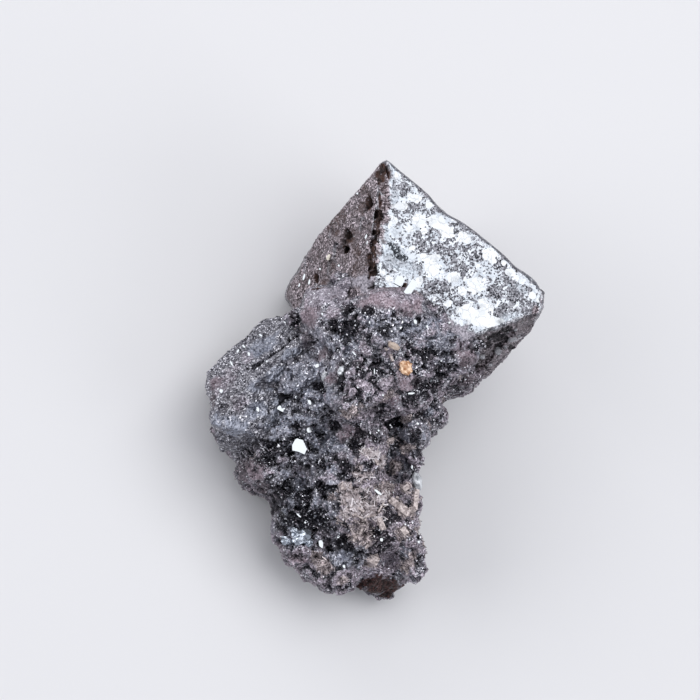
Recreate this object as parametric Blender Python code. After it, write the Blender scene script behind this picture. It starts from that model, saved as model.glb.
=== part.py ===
# Hematite pseudomorph specimen: one large octahedral crystal and a smaller one,
# both grown from a lump of granular hematite. It lies on the large crystal's back
# face, which is the plane z = 0. Sizes below are in millimetres.

import itertools
import math
import random

import bmesh
import bpy
from mathutils import Euler, Matrix, Vector

MM = 0.001

# Surfaces of the three bodies: colour, roughness, metallic.
SURFACES = {
    "main_crystal": ("bright_hematite", (0.42, 0.44, 0.47), 0.25, 0.9),
    "side_crystal": ("satin_hematite", (0.24, 0.25, 0.28), 0.40, 0.8),
    "matrix": ("granular_hematite", (0.12, 0.11, 0.12), 0.55, 0.6),
}

SAME_POINT = 0.001         # corners nearer than this are one corner
ON_PLANE = 0.00001
PARALLEL = 0.000001        # determinant below which three planes share no point
FLAT_ANGLE = 0.5           # degrees between facets that lie in one face
BEVEL_ANGLE = 25           # degrees from which an edge is worn
BEVEL_STEPS = 2

# Main crystal: a regular octahedron with two faces level, one up and one down.
FACE_TO_FACE = 16.55
MAIN_TURN = 110.3          # degrees about Z of the top face's first corner
MAIN_BEVEL = 0.22

# Its corners are apex, front and right, and opposite to them near, back and left.
# A face is the signs of its corners in that order, and some stand further out.
TOP_FACE = (1, 1, 1)
LEFT_FACE = (1, 1, -1)
NEAR_FACE = (-1, 1, 1)
RIGHT_FACE = (1, -1, 1)
FAR_LEFT_FACE = (1, -1, -1)
MAIN_FACE_SHIFTS = {LEFT_FACE: 0.20, NEAR_FACE: 0.40, RIGHT_FACE: 0.20, FAR_LEFT_FACE: 0.20}

FACE_SLACK = 0.30          # gap left between two pieces that touch

# Corners lost from the main crystal: outward direction, distance from its centre.
MAIN_CORNER_CUTS = [
    ((-0.850, 0.510, -0.133), 10.35),   # left corner, worn along a slant
    ((-0.840, -0.420, -0.340), 9.90),   # left corner, near side
    ((0.840, 0.465, 0.280), 10.45),     # right tip, upper half
    ((0.900, -0.360, 0.240), 11.75),    # right tip, lower half
    ((0.330, -0.930, -0.107), 9.45),    # near corner, broken where the groundmass ends
    ((0.560, 0.670, -0.480), 13.10),    # back corner
    ((-0.290, 0.780, 0.560), 14.10),    # apex
]

# Groove beside the ridge from the apex to the front corner: where it starts and
# ends down the ridge (0 to 1), how far it lies beside it, its width and its depth.
GROOVE_WALL = (0.9, 0.4)   # how far a groove's walls lean: sideways, inward
GROOVE_SHARE = 0.42        # share of the width to each side of the middle
RIDGE_GROOVES = [
    (0.07, 0.26, 0.42, 0.34, 0.55),
    (0.24, 0.46, 0.55, 0.50, 0.80),
    (0.44, 0.75, 0.38, 0.42, 0.65),
]

# Etch pits: the face, the shares of its three corners, and the pit's reach.
MAIN_PITS = [
    (LEFT_FACE, (0.66, 0.21, 0.13), 0.55),
    (LEFT_FACE, (0.45, 0.20, 0.35), 0.80),
    (LEFT_FACE, (0.37, 0.24, 0.39), 0.62),
    (LEFT_FACE, (0.30, 0.08, 0.62), 0.60),
    (LEFT_FACE, (0.52, 0.06, 0.42), 0.42),
    (LEFT_FACE, (0.22, 0.28, 0.50), 0.50),
    (NEAR_FACE, (0.16, 0.22, 0.62), 0.75),
    (NEAR_FACE, (0.30, 0.20, 0.50), 0.60),
    (NEAR_FACE, (0.12, 0.40, 0.48), 0.55),
    (NEAR_FACE, (0.22, 0.06, 0.72), 0.50),
    (RIGHT_FACE, (0.45, 0.30, 0.25), 0.90),
    (RIGHT_FACE, (0.20, 0.35, 0.45), 0.60),
    (RIGHT_FACE, (0.62, 0.22, 0.16), 0.50),
    (FAR_LEFT_FACE, (0.40, 0.35, 0.25), 0.95),
    (FAR_LEFT_FACE, (0.22, 0.28, 0.50), 0.60),
]
PIT_SHARE = 0.55           # share of a pit's reach that stands proud of the face

# Sunk panels of the stepped faces: face, share of the face's width, depth.
PANEL_RISE = 1.0           # how far the cutter of a panel stands proud of the face
SUNK_PANELS = [
    (NEAR_FACE, 0.62, 0.35),
    (RIGHT_FACE, 0.50, 0.25),
]

# Side crystal: a stretched octahedron, its long edge along the specimen's left flank.
SIDE_CENTRE = (-12.95, -7.45, 6.8)
SIDE_FACE = (0.11, -0.25, 0.96)
SIDE_EDGE = (-0.74, -0.67, 0.0)
SIDE_REACH = 2.9
SIDE_STRETCH = 4.1
SIDE_BEVEL = 0.18

# Groundmass lumps: centre x, y, z, then width, depth, height, then turn about Z.
LUMP_SEED = 11
LUMP_POINTS = 22
LUMP_SQUARENESS = 0.55     # 0 is an ellipsoid, 1 is a box
LUMP_REACH = (0.93, 1.07)
LUMPS = {
    "core_top": (-2.9, -8.4, 9.0, 9.6, 7.0, 16.6, 8),
    "brow": (-6.4, -6.4, 15.2, 8.8, 8.8, 6.8, 20),
    "bridge": (-7.6, -4.6, 12.4, 6.2, 6.4, 9.4, 15),
    "chin": (-7.4, -9.5, 14.4, 6.6, 5.6, 7.4, 10),
    "dome": (-4.0, -3.2, 16.4, 6.4, 4.2, 4.2, -10),
    "collar": (-0.9, -5.2, 15.5, 7.4, 6.2, 6.0, -12),
    "right_crown": (0.9, -6.3, 13.6, 7.0, 5.8, 8.6, -8),
    "right_block": (2.4, -6.3, 11.9, 3.9, 5.4, 10.0, -28),
    "right_shelf": (3.6, -7.3, 7.4, 6.0, 3.6, 9.6, -15),
    "core_left": (-8.9, -9.6, 7.2, 9.6, 8.8, 13.4, -25),
    "lavender_block": (-9.1, -1.5, 10.4, 6.6, 4.8, 7.2, 8),
    "core_low": (-6.3, -14.8, 7.0, 10.6, 10.4, 13.4, 15),
    "foot": (-6.4, -19.8, 5.6, 10.0, 9.2, 12.6, -10),
    "toe": (-6.2, -23.9, 4.6, 8.6, 4.1, 10.4, 5),
    "left_flank": (-15.6, -11.4, 4.2, 5.8, 6.2, 9.6, 20),
    "left_base": (-14.2, -7.2, 2.4, 7.4, 7.6, 5.2, -40),
    "left_rise": (-12.2, -12.4, 8.2, 6.5, 4.6, 8.4, 20),
    "left_knee": (-13.3, -15.0, 4.6, 5.8, 5.0, 10.4, -30),
    "left_shin": (-11.4, -18.9, 5.0, 4.6, 5.9, 8.0, 0),
    "left_heel": (-11.0, -22.6, 4.6, 3.8, 3.4, 6.4, 25),
    "right_flank": (-1.5, -12.9, 6.5, 4.3, 7.0, 12.0, 0),
    "right_knob": (1.5, -10.2, 6.5, 4.4, 4.4, 8.4, 15),
    "right_low": (-1.6, -18.6, 5.9, 4.7, 7.6, 12.4, -8),
    "right_toe": (-1.1, -23.8, 5.0, 3.3, 5.0, 8.6, 10),
    "under_toe": (-3.3, -25.5, 3.4, 4.3, 2.6, 6.0, 0),
    "toe_left": (-8.4, -25.2, 4.0, 5.0, 3.0, 7.0, -10),
}

# Hollows pressed into the groundmass: centre, then width, depth, height.
HOLLOW_SEED = 5
HOLLOW_POINTS = 12
HOLLOWS = {
    "black_hollow": (-11.9, -19.8, 12.4, 4.4, 5.0, 5.4),
    "crevice": (-11.2, -2.6, 11.4, 1.3, 3.4, 6.2),
    "brow_pit": (-8.2, -4.3, 15.6, 1.7, 2.2, 4.0),
    "knob_pit": (0.3, -9.7, 13.4, 1.8, 1.8, 4.4),
    "middle_pit": (-6.6, -12.9, 15.0, 2.2, 1.6, 3.2),
    "cleft": (-4.4, -20.6, 12.6, 1.6, 4.6, 3.4),
    "right_gap": (1.9, -14.8, 8.0, 2.0, 2.0, 6.0),
}

GROUND_VOXEL = 0.42
GROUND_TRIANGLES = 6300
BROAD_RELIEF = (2.6, 0.6)          # width of the swells and their height
GRANULAR_RELIEF = (1.4, 0.48)

SMALL_CRYSTALS = 60
SMALL_CRYSTAL_SEED = 24
SMALL_CRYSTAL_REACH = (0.32, 0.72)
SMALL_CRYSTAL_SUNK = 0.45          # share of its reach that its centre lies below the skin
SMALL_CRYSTAL_LOWEST = 1.2         # none grow lower than this

FLOOR_TOOL_SIZE = (80, 80, 20)
FLOOR_TOOL_CENTRE = (0, -10, -10)


def clear_scene():
    for thing in list(bpy.data.objects):
        bpy.data.objects.remove(thing, do_unlink=True)


def make_material(body):
    name, colour, roughness, metallic = SURFACES[body]
    material = bpy.data.materials.new(name)
    material.use_nodes = True
    shader = material.node_tree.nodes["Principled BSDF"]
    shader.inputs["Base Color"].default_value = (*colour, 1.0)
    shader.inputs["Roughness"].default_value = roughness
    shader.inputs["Metallic"].default_value = metallic
    return material


def link_object(name, mesh):
    thing = bpy.data.objects.new(name, mesh)
    bpy.context.scene.collection.objects.link(thing)
    return thing


def hide_tool(thing):
    thing.hide_render = True
    thing.display_type = "WIRE"


def crystal_axes(face_normal, towards_corner):
    # The three half-axes of an octahedron, from one face and one of its corners.
    n = Vector(face_normal).normalized()
    t = Vector(towards_corner)
    t = (t - t.dot(n) * n).normalized()
    e = n.cross(t)
    a = n / math.sqrt(3) + t * math.sqrt(2 / 3)
    b = n / math.sqrt(3) - t / math.sqrt(6) + e / math.sqrt(2)
    c = n / math.sqrt(3) - t / math.sqrt(6) - e / math.sqrt(2)
    return a, b, c


def face_direction(axes, signs):
    return sum((sign * axis for sign, axis in zip(signs, axes)), Vector()).normalized()


def octahedron_planes(axes, reach, shifts=None):
    # Eight faces, each as its outward direction and its distance from the centre.
    shifts = shifts or {}
    planes = []
    for signs in itertools.product((1, -1), repeat=3):
        planes.append((face_direction(axes, signs), reach + shifts.get(signs, 0.0)))
    return planes


def meeting_point(p, q, r):
    rows = Matrix((p[0], q[0], r[0]))
    if abs(rows.determinant()) < PARALLEL:
        return None
    return rows.inverted() @ Vector((p[1], q[1], r[1]))


def add_plane_solid(bm, planes, centre):
    # The convex solid that all the planes leave, added to bm.
    corners = []
    count = len(planes)
    for i in range(count):
        for j in range(i + 1, count):
            for k in range(j + 1, count):
                point = meeting_point(planes[i], planes[j], planes[k])
                if point is None:
                    continue
                if any(point.dot(n) > d + ON_PLANE for n, d in planes):
                    continue
                if any((point - other).length < SAME_POINT for other in corners):
                    continue
                corners.append(point)
    verts = [bm.verts.new((corner + Vector(centre)) * MM) for corner in corners]
    hull = bmesh.ops.convex_hull(bm, input=verts)
    spare = [v for v in hull["geom_interior"] if isinstance(v, bmesh.types.BMVert)]
    bmesh.ops.delete(bm, geom=spare, context="VERTS")


def finish_mesh(bm, name, flatten=True):
    if flatten:
        edges = bm.edges[:]
        verts = bm.verts[:]
        angle = math.radians(FLAT_ANGLE)
        bmesh.ops.dissolve_limit(bm, angle_limit=angle, verts=verts, edges=edges)
    bmesh.ops.recalc_face_normals(bm, faces=bm.faces[:])
    mesh = bpy.data.meshes.new(name)
    bm.to_mesh(mesh)
    bm.free()
    return mesh


def plane_solid(name, planes, centre):
    bm = bmesh.new()
    add_plane_solid(bm, planes, centre)
    return link_object(name, finish_mesh(bm, name))


def grown(planes, extra):
    return [(normal, distance + extra) for normal, distance in planes]


def add_bevel(thing, width):
    bevel = thing.modifiers.new("worn_edges", "BEVEL")
    bevel.width = width * MM
    bevel.segments = BEVEL_STEPS
    bevel.limit_method = "ANGLE"
    bevel.angle_limit = math.radians(BEVEL_ANGLE)


def add_boolean(thing, other, operation):
    boolean = thing.modifiers.new(other.name, "BOOLEAN")
    boolean.operation = operation
    boolean.solver = "EXACT"
    boolean.use_self = True
    boolean.object = other


def main_axes():
    turn = math.radians(MAIN_TURN)
    return crystal_axes((0, 0, 1), (math.cos(turn), math.sin(turn), 0))


def main_face_point(signs, shares):
    # The point of a main crystal's face with these shares of its three corners.
    reach = FACE_TO_FACE / 2
    corners = [sign * axis * reach * math.sqrt(3) for sign, axis in zip(signs, main_axes())]
    point = sum((share * corner for share, corner in zip(shares, corners)), Vector())
    outward = face_direction(main_axes(), signs)
    return point + outward * MAIN_FACE_SHIFTS.get(signs, 0.0), outward


def main_crystal_planes():
    planes = octahedron_planes(main_axes(), FACE_TO_FACE / 2, MAIN_FACE_SHIFTS)
    for direction, distance in MAIN_CORNER_CUTS:
        planes.append((Vector(direction).normalized(), distance))
    return planes


def side_crystal_planes():
    face = Vector(SIDE_FACE).normalized()
    edge = Vector(SIDE_EDGE).normalized()
    axes = crystal_axes(face, face.cross(edge))
    planes = []
    for normal, distance in octahedron_planes(axes, SIDE_REACH):
        stretch = abs(normal.dot(edge)) * SIDE_STRETCH
        planes.append((normal, distance + stretch))
    return planes


def main_centre():
    return (0.0, 0.0, FACE_TO_FACE / 2)


def add_ridge_groove(bm, start, end, beside, width, depth):
    # A narrow wedge cut beside the ridge between the apex and the front corner.
    head, outward = main_face_point(LEFT_FACE, (1 - start, start, 0))
    tail, _ = main_face_point(LEFT_FACE, (1 - end, end, 0))
    along = (tail - head).normalized()
    across = outward.cross(along).normalized()
    if across.dot(main_axes()[2]) > 0:
        across = -across
    middle = (head + tail) / 2 + across * beside
    side, inward = GROOVE_WALL
    half = width * GROOVE_SHARE
    planes = [
        (along, (tail - head).length / 2),
        (-along, (tail - head).length / 2),
        (outward, depth),
        ((across * side - outward * inward).normalized(), half),
        ((-across * side - outward * inward).normalized(), half),
        (-outward, depth),
    ]
    add_plane_solid(bm, planes, middle + Vector(main_centre()))


def add_main_pit(bm, signs, shares, reach):
    # An etch pit: a small octahedron, in line with the crystal, pressed into a face.
    point, outward = main_face_point(signs, shares)
    middle = point + outward * reach * PIT_SHARE
    add_plane_solid(bm, octahedron_planes(main_axes(), reach), middle + Vector(main_centre()))


def add_sunk_panel(bm, signs, share, depth):
    # A three-sided panel, in line with its face and a little below it.
    middle, outward = main_face_point(signs, (1 / 3, 1 / 3, 1 / 3))
    planes = [(outward, PANEL_RISE), (-outward, depth)]
    inradius = FACE_TO_FACE / 2 * math.sqrt(3) / math.sqrt(6)
    for sign, axis in zip(signs, main_axes()):
        inward = sign * axis - (sign * axis).dot(outward) * outward
        planes.append((-inward.normalized(), inradius * share))
    add_plane_solid(bm, planes, middle + Vector(main_centre()))


def make_relief_tool():
    bm = bmesh.new()
    for values in RIDGE_GROOVES:
        add_ridge_groove(bm, *values)
    for values in MAIN_PITS:
        add_main_pit(bm, *values)
    for values in SUNK_PANELS:
        add_sunk_panel(bm, *values)
    tool = link_object("relief_tool", finish_mesh(bm, "relief_tool"))
    hide_tool(tool)
    return tool


def make_main_crystal(material):
    crystal = plane_solid("main_crystal", main_crystal_planes(), main_centre())
    crystal.data.materials.append(material)
    add_bevel(crystal, MAIN_BEVEL)
    add_boolean(crystal, make_relief_tool(), "DIFFERENCE")
    return crystal


def make_side_crystal(material):
    crystal = plane_solid("side_crystal", side_crystal_planes(), SIDE_CENTRE)
    crystal.data.materials.append(material)
    bm = bmesh.new()
    add_plane_solid(bm, grown(main_crystal_planes(), FACE_SLACK), main_centre())
    neighbour = link_object("neighbour_tool", finish_mesh(bm, "neighbour_tool"))
    hide_tool(neighbour)
    add_boolean(crystal, neighbour, "DIFFERENCE")
    add_bevel(crystal, SIDE_BEVEL)
    return crystal


def add_lump(bm, values, dice, points):
    # A rough block: the hull of points scattered over a squared-off ellipsoid.
    x, y, z, width, depth, height, turn = values
    spin = Euler((0.0, 0.0, math.radians(turn))).to_matrix()
    verts = []
    for _ in range(points):
        way = Vector([dice.gauss(0, 1) for _ in range(3)]).normalized()
        squared = max(abs(part) for part in way) ** LUMP_SQUARENESS
        reach = dice.uniform(*LUMP_REACH) / squared
        half = Vector((way.x * width, way.y * depth, way.z * height)) * 0.5
        place = spin @ (half * reach) + Vector((x, y, z))
        verts.append(bm.verts.new(place * MM))
    hull = bmesh.ops.convex_hull(bm, input=verts)
    spare = [v for v in hull["geom_interior"] if isinstance(v, bmesh.types.BMVert)]
    bmesh.ops.delete(bm, geom=spare, context="VERTS")


def make_ground_block():
    dice = random.Random(LUMP_SEED)
    bm = bmesh.new()
    for values in LUMPS.values():
        add_lump(bm, values, dice, LUMP_POINTS)
    return link_object("matrix", finish_mesh(bm, "matrix", flatten=False))


def make_hollow_tool():
    dice = random.Random(HOLLOW_SEED)
    bm = bmesh.new()
    for x, y, z, width, depth, height in HOLLOWS.values():
        add_lump(bm, (x, y, z, width, depth, height, 0), dice, HOLLOW_POINTS)
    tool = link_object("hollow_tool", finish_mesh(bm, "hollow_tool"))
    hide_tool(tool)
    return tool


def add_remesh(thing, voxel):
    remesh = thing.modifiers.new("even_skin", "REMESH")
    remesh.mode = "VOXEL"
    remesh.voxel_size = voxel * MM


def add_roughness(thing, name, kind, relief):
    size, strength = relief
    texture = bpy.data.textures.new(name, kind)
    texture.noise_scale = size * MM
    displace = thing.modifiers.new(name, "DISPLACE")
    displace.texture = texture
    displace.texture_coords = "LOCAL"
    displace.strength = strength * MM
    displace.mid_level = 0.5


def evaluated_mesh(thing):
    graph = bpy.context.evaluated_depsgraph_get()
    return bpy.data.meshes.new_from_object(thing.evaluated_get(graph))


def settle_modifiers(thing):
    mesh = evaluated_mesh(thing)
    thing.modifiers.clear()
    thing.data = mesh


def thin_to(thing, triangles):
    thing.data.calc_loop_triangles()
    decimate = thing.modifiers.new("thin", "DECIMATE")
    decimate.ratio = triangles / len(thing.data.loop_triangles)


def keep_largest_body(mesh):
    bm = bmesh.new()
    bm.from_mesh(mesh)
    waiting = set(bm.verts)
    bodies = []
    while waiting:
        front = [waiting.pop()]
        body = set(front)
        while front:
            for edge in front.pop().link_edges:
                for vert in edge.verts:
                    if vert in waiting:
                        waiting.discard(vert)
                        body.add(vert)
                        front.append(vert)
        bodies.append(body)
    largest = max(bodies, key=len)
    spare = [vert for vert in bm.verts if vert not in largest]
    bmesh.ops.delete(bm, geom=spare, context="VERTS")
    bm.to_mesh(mesh)
    bm.free()


def make_small_crystals(ground):
    # Little octahedra half sunk in the groundmass, at seeded places on its skin.
    dice = random.Random(SMALL_CRYSTAL_SEED)
    lowest = SMALL_CRYSTAL_LOWEST * MM
    faces = [face for face in ground.data.polygons if face.center.z > lowest]
    bm = bmesh.new()
    for _ in range(SMALL_CRYSTALS):
        face = dice.choice(faces)
        reach = dice.uniform(*SMALL_CRYSTAL_REACH)
        normal = Vector([dice.gauss(0, 1) for _ in range(3)])
        corner = Vector([dice.gauss(0, 1) for _ in range(3)])
        centre = face.center / MM - face.normal * reach * SMALL_CRYSTAL_SUNK
        add_plane_solid(bm, octahedron_planes(crystal_axes(normal, corner), reach), centre)
    tool = link_object("small_crystals", finish_mesh(bm, "small_crystals"))
    hide_tool(tool)
    return tool


def make_socket_tool():
    # The room that the two crystals take up in the groundmass.
    bm = bmesh.new()
    add_plane_solid(bm, grown(main_crystal_planes(), FACE_SLACK), main_centre())
    add_plane_solid(bm, grown(side_crystal_planes(), FACE_SLACK), SIDE_CENTRE)
    tool = link_object("socket_tool", finish_mesh(bm, "socket_tool"))
    hide_tool(tool)
    return tool


def make_floor_tool():
    bm = bmesh.new()
    bmesh.ops.create_cube(bm, size=1.0)
    bmesh.ops.scale(bm, vec=Vector(FLOOR_TOOL_SIZE) * MM, verts=bm.verts[:])
    bmesh.ops.translate(bm, vec=Vector(FLOOR_TOOL_CENTRE) * MM, verts=bm.verts[:])
    tool = link_object("floor_tool", finish_mesh(bm, "floor_tool"))
    hide_tool(tool)
    return tool


def make_groundmass(material):
    ground = make_ground_block()
    add_remesh(ground, GROUND_VOXEL)
    add_roughness(ground, "broad_relief", "CLOUDS", BROAD_RELIEF)
    add_roughness(ground, "granular_relief", "VORONOI", GRANULAR_RELIEF)
    settle_modifiers(ground)
    add_boolean(ground, make_hollow_tool(), "DIFFERENCE")
    add_remesh(ground, GROUND_VOXEL)
    settle_modifiers(ground)
    thin_to(ground, GROUND_TRIANGLES)
    settle_modifiers(ground)
    add_boolean(ground, make_small_crystals(ground), "UNION")
    add_boolean(ground, make_socket_tool(), "DIFFERENCE")
    add_boolean(ground, make_floor_tool(), "DIFFERENCE")
    settle_modifiers(ground)
    keep_largest_body(ground.data)
    ground.data.materials.clear()
    ground.data.materials.append(material)
    return ground


def main():
    clear_scene()
    make_main_crystal(make_material("main_crystal"))
    make_side_crystal(make_material("side_crystal"))
    make_groundmass(make_material("matrix"))


main()
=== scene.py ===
import itertools
import math

import bmesh
import bpy
import numpy as np
from mathutils import Matrix, Vector
from mathutils.bvhtree import BVHTree


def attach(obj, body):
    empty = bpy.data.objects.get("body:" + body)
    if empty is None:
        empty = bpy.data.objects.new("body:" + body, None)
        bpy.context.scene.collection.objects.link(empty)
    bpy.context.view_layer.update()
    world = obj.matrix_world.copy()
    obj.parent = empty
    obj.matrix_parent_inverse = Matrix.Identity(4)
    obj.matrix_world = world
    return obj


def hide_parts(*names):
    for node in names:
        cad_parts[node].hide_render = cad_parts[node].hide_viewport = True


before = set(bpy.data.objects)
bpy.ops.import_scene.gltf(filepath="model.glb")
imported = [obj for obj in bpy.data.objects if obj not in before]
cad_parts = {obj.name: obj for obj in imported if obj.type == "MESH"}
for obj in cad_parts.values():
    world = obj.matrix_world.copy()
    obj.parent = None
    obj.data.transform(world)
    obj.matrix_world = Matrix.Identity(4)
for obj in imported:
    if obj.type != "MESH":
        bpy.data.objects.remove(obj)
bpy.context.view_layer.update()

mm = 0.001      # shapes are worked out in millimetres and made metres when a piece is finished

view = {
    "aim": (-5.32, -4.24, 5.78),
    "distance": 400.0,
    "right": (0.9618, -0.0602, 0.2670),
    "up": (0.0, 0.9755, 0.2198),
    "lens": 222.2,
    "sensor": 36.0,
    "pixels": 700,
}
viewRight = Vector(view["right"]).normalized()
viewUp = Vector(view["up"]).normalized()
viewBack = viewRight.cross(viewUp).normalized()
viewPlace = Vector(view["aim"]) + viewBack * view["distance"]
focal = view["lens"] / view["sensor"] * view["pixels"]
pixel = view["distance"] / focal        # what one pixel spans on the specimen, in mm


# Noise on arrays of points, the same on every run.
hashSteps = np.array((73856093, 19349663, 83492791), np.int64)
wordMask = 0xFFFFFFFF


def scrambled(cells, salt):
    # one repeatable number from 0 to 1 for each whole-number place
    word = (((cells * hashSteps).sum(1) + salt * 7919) & wordMask).astype(np.uint64)
    for shift, factor in ((15, 2246822519), (13, 3266489917)):
        word = ((word ^ (word >> np.uint64(shift))) * np.uint64(factor)) & np.uint64(wordMask)
    return (word ^ (word >> np.uint64(16))).astype(float) / wordMask


def softNoise(points, size, salt=0):
    # from -1 to 1, with swells about as wide as size
    scaled = points / size
    low = np.floor(scaled).astype(np.int64)
    part = scaled - low
    part = part * part * (3 - 2 * part)
    total = np.zeros(len(points))
    for corner in itertools.product((0, 1), repeat=3):
        weight = np.prod(np.where(corner, part, 1 - part), axis=1)
        total += weight * scrambled(low + np.array(corner), salt)
    return total * 2 - 1


def layeredNoise(points, size, layers, salt=0):
    total = np.zeros(len(points))
    for layer in range(layers):
        total += softNoise(points, size / 2.1 ** layer, salt + layer) / 1.8 ** layer
    return total


def grainCells(points, size, salt=0):
    # scattered grains: distance to the nearest and the next, offset from its centre, its number
    scaled = points / size
    low = np.floor(scaled).astype(np.int64)
    first = np.full(len(points), 9.0)
    second = first.copy()
    seat = np.zeros_like(scaled)
    owner = np.zeros_like(low)
    for step in itertools.product((-1, 0, 1), repeat=3):
        cell = low + np.array(step)
        spot = cell + np.stack([scrambled(cell, salt + k) for k in (1, 2, 3)], 1)
        gap = np.linalg.norm(scaled - spot, axis=1)
        closer = gap < first
        second = np.where(closer, first, np.minimum(second, gap))
        first = np.where(closer, gap, first)
        seat[closer] = spot[closer]
        owner[closer] = cell[closer]
    return first, second, scaled - seat, owner


def blockRelief(points, size, slope, salt=0):
    # tilted facets, one for each grain, like crystals grown against each other
    _, _, offset, owner = grainCells(points, size, salt)
    tilt = np.stack([scrambled(owner, salt + k) for k in (11, 12, 13)], 1) * 2 - 1
    tilt /= np.linalg.norm(tilt, axis=1)[:, None] + 0.1
    return (offset * tilt).sum(1) * slope * size


def smoothStep(low, high, values):
    part = np.clip((values - low) / (high - low), 0, 1)
    return part * part * (3 - 2 * part)


def mergedCopy(nodeName):
    # a closed copy of a CAD node, in millimetres
    bm = bmesh.new()
    bm.from_mesh(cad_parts[nodeName].data)
    bmesh.ops.scale(bm, vec=(1 / mm,) * 3, verts=bm.verts[:])
    bmesh.ops.remove_doubles(bm, verts=bm.verts[:], dist=0.001)
    mesh = bpy.data.meshes.new(nodeName + "Copy")
    bm.to_mesh(mesh)
    bm.free()
    return mesh


def evenSkin(mesh, voxel):
    holder = bpy.data.objects.new("holder", mesh)
    bpy.context.scene.collection.objects.link(holder)
    remesh = holder.modifiers.new("even", "REMESH")
    remesh.mode = "VOXEL"
    remesh.voxel_size = voxel
    graph = bpy.context.evaluated_depsgraph_get()
    skin = bpy.data.meshes.new_from_object(holder.evaluated_get(graph))
    bpy.data.objects.remove(holder)
    return skin


def pointsOf(mesh):
    points = np.empty(len(mesh.vertices) * 3)
    mesh.vertices.foreach_get("co", points)
    return points.reshape(-1, 3)


def normalsOf(mesh):
    normals = np.empty(len(mesh.vertices) * 3, np.float32)
    mesh.vertex_normals.foreach_get("vector", normals)
    return normals.reshape(-1, 3).astype(float)


def setPoints(mesh, points):
    mesh.vertices.foreach_set("co", points.ravel())
    mesh.update()


def addField(mesh, name, values):
    layer = mesh.attributes.new(name, "FLOAT", "POINT")
    layer.data.foreach_set("value", values.astype(np.float32))


def addFields(mesh, field):
    for key, values in field.items():
        addField(mesh, key, np.clip(values, 0, 1))


def raiseField(field, key, values):
    field[key] = np.maximum(field[key], values)


def treeOf(*meshes):
    corners = []
    faces = []
    for mesh in meshes:
        start = len(corners)
        corners += [v.co.copy() for v in mesh.vertices]
        faces += [[start + i for i in f.vertices] for f in mesh.polygons]
    return BVHTree.FromPolygons(corners, faces)


def nearestOn(tree, points):
    # the nearest points of a surface, their outward directions and how far off they are
    places = np.empty_like(points)
    outward = np.empty_like(points)
    gaps = np.empty(len(points))
    for i, point in enumerate(points):
        place, normal, _, gap = tree.find_nearest(point)
        places[i] = place
        outward[i] = normal
        gaps[i] = gap
    return places, outward, gaps


def finishPiece(name, mesh, material, node=None, smooth=False):
    mesh.name = name
    mesh.transform(Matrix.Scale(mm, 4))
    mesh.materials.clear()
    mesh.materials.append(material)
    mesh.polygons.foreach_set("use_smooth", [smooth] * len(mesh.polygons))
    mesh.update()
    piece = bpy.data.objects.new(name, mesh)
    bpy.context.scene.collection.objects.link(piece)
    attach(piece, "root")
    if node:
        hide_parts(node)
    print(name, len(mesh.polygons), "faces")
    return piece


def castFrom(surface, x, y):
    # the point of a surface that lies at this place in the 700 x 700 view, or None
    half = view["pixels"] / 2
    way = viewRight * (x - half) + viewUp * (half - y) - viewBack * focal
    return surface.ray_cast(viewPlace, way.normalized())[0]


def spotField(points, spots, surface, ragged=0.40, soft=0.30, salt=40):
    # 1 inside the spots and 0 outside. A spot is x, y, half width, half height and, for some, its turn.
    field = np.zeros(len(points))
    wobble = layeredNoise(points, 0.55, 3, salt) * ragged
    for x, y, halfWidth, halfHeight, *turn in spots:
        centre = castFrom(surface, x, y)
        if centre is None:
            continue
        angle = math.radians(sum(turn))
        along = viewRight * math.cos(angle) + viewUp * math.sin(angle)
        across = viewUp * math.cos(angle) - viewRight * math.sin(angle)
        offset = points - np.array(centre)
        longSide = offset @ np.array(along) / (halfWidth * pixel)
        shortSide = offset @ np.array(across) / (halfHeight * pixel)
        depth = offset @ np.array(viewBack) / (max(halfWidth, halfHeight) * pixel * 1.6 + 0.2)
        reach = np.sqrt(longSide ** 2 + shortSide ** 2 + depth ** 2) + wobble
        field = np.maximum(field, 1 - smoothStep(1 - soft, 1 + soft, reach))
    return field


# x, y in the view, how far the stone there goes right and down, and the reach of it, in pixels
shaping = [
    (440, 216, -4.5, 4.5, 17), (512, 271, -2.0, 2.5, 12), (533, 292, -4.5, 4.5, 9), (536, 305, 3, 2, 9),
    (387, 168, -1.5, -2.5, 8), (298, 289, -5.5, 1, 11), (219, 418, -5, 3, 12), (213, 386, -4, 2, 10),
    (443, 410, -12, 1, 15), (438, 424, -7, -5, 11), (448, 398, -6, -2, 9), (412, 459, 9, 1, 9),
    (416, 514, -4.5, 0, 13), (412, 571, 2, 8, 10), (386, 588, -1, -8, 10), (424, 488, -10, 0, 7),
    (448, 393, -3, -6, 9), (461, 385, -2, -9, 11), (476, 380, -2, -6, 9),
]
shapingDepth = 4.5       # how far that reaches along the line of sight, in mm


def shaped(points):
    # level shifts of everything near a line of sight, which bring the outline in or out
    back = np.array(viewBack)
    for x, y, right, down, reach in shaping:
        place = castFrom(wholeTree, x, y)
        if place is None:
            continue
        offset = points - np.array(place)
        deep = offset @ back
        aside = np.maximum((offset ** 2).sum(1) - deep ** 2, 0)
        share = np.exp(-aside / (reach * pixel) ** 2 - (deep / shapingDepth) ** 2)
        along = -down * pixel / viewUp.y
        across = (right * pixel - along * viewRight.y) / viewRight.x
        points = points + share[:, None] * np.array((across, along, 0))
    return points


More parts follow.
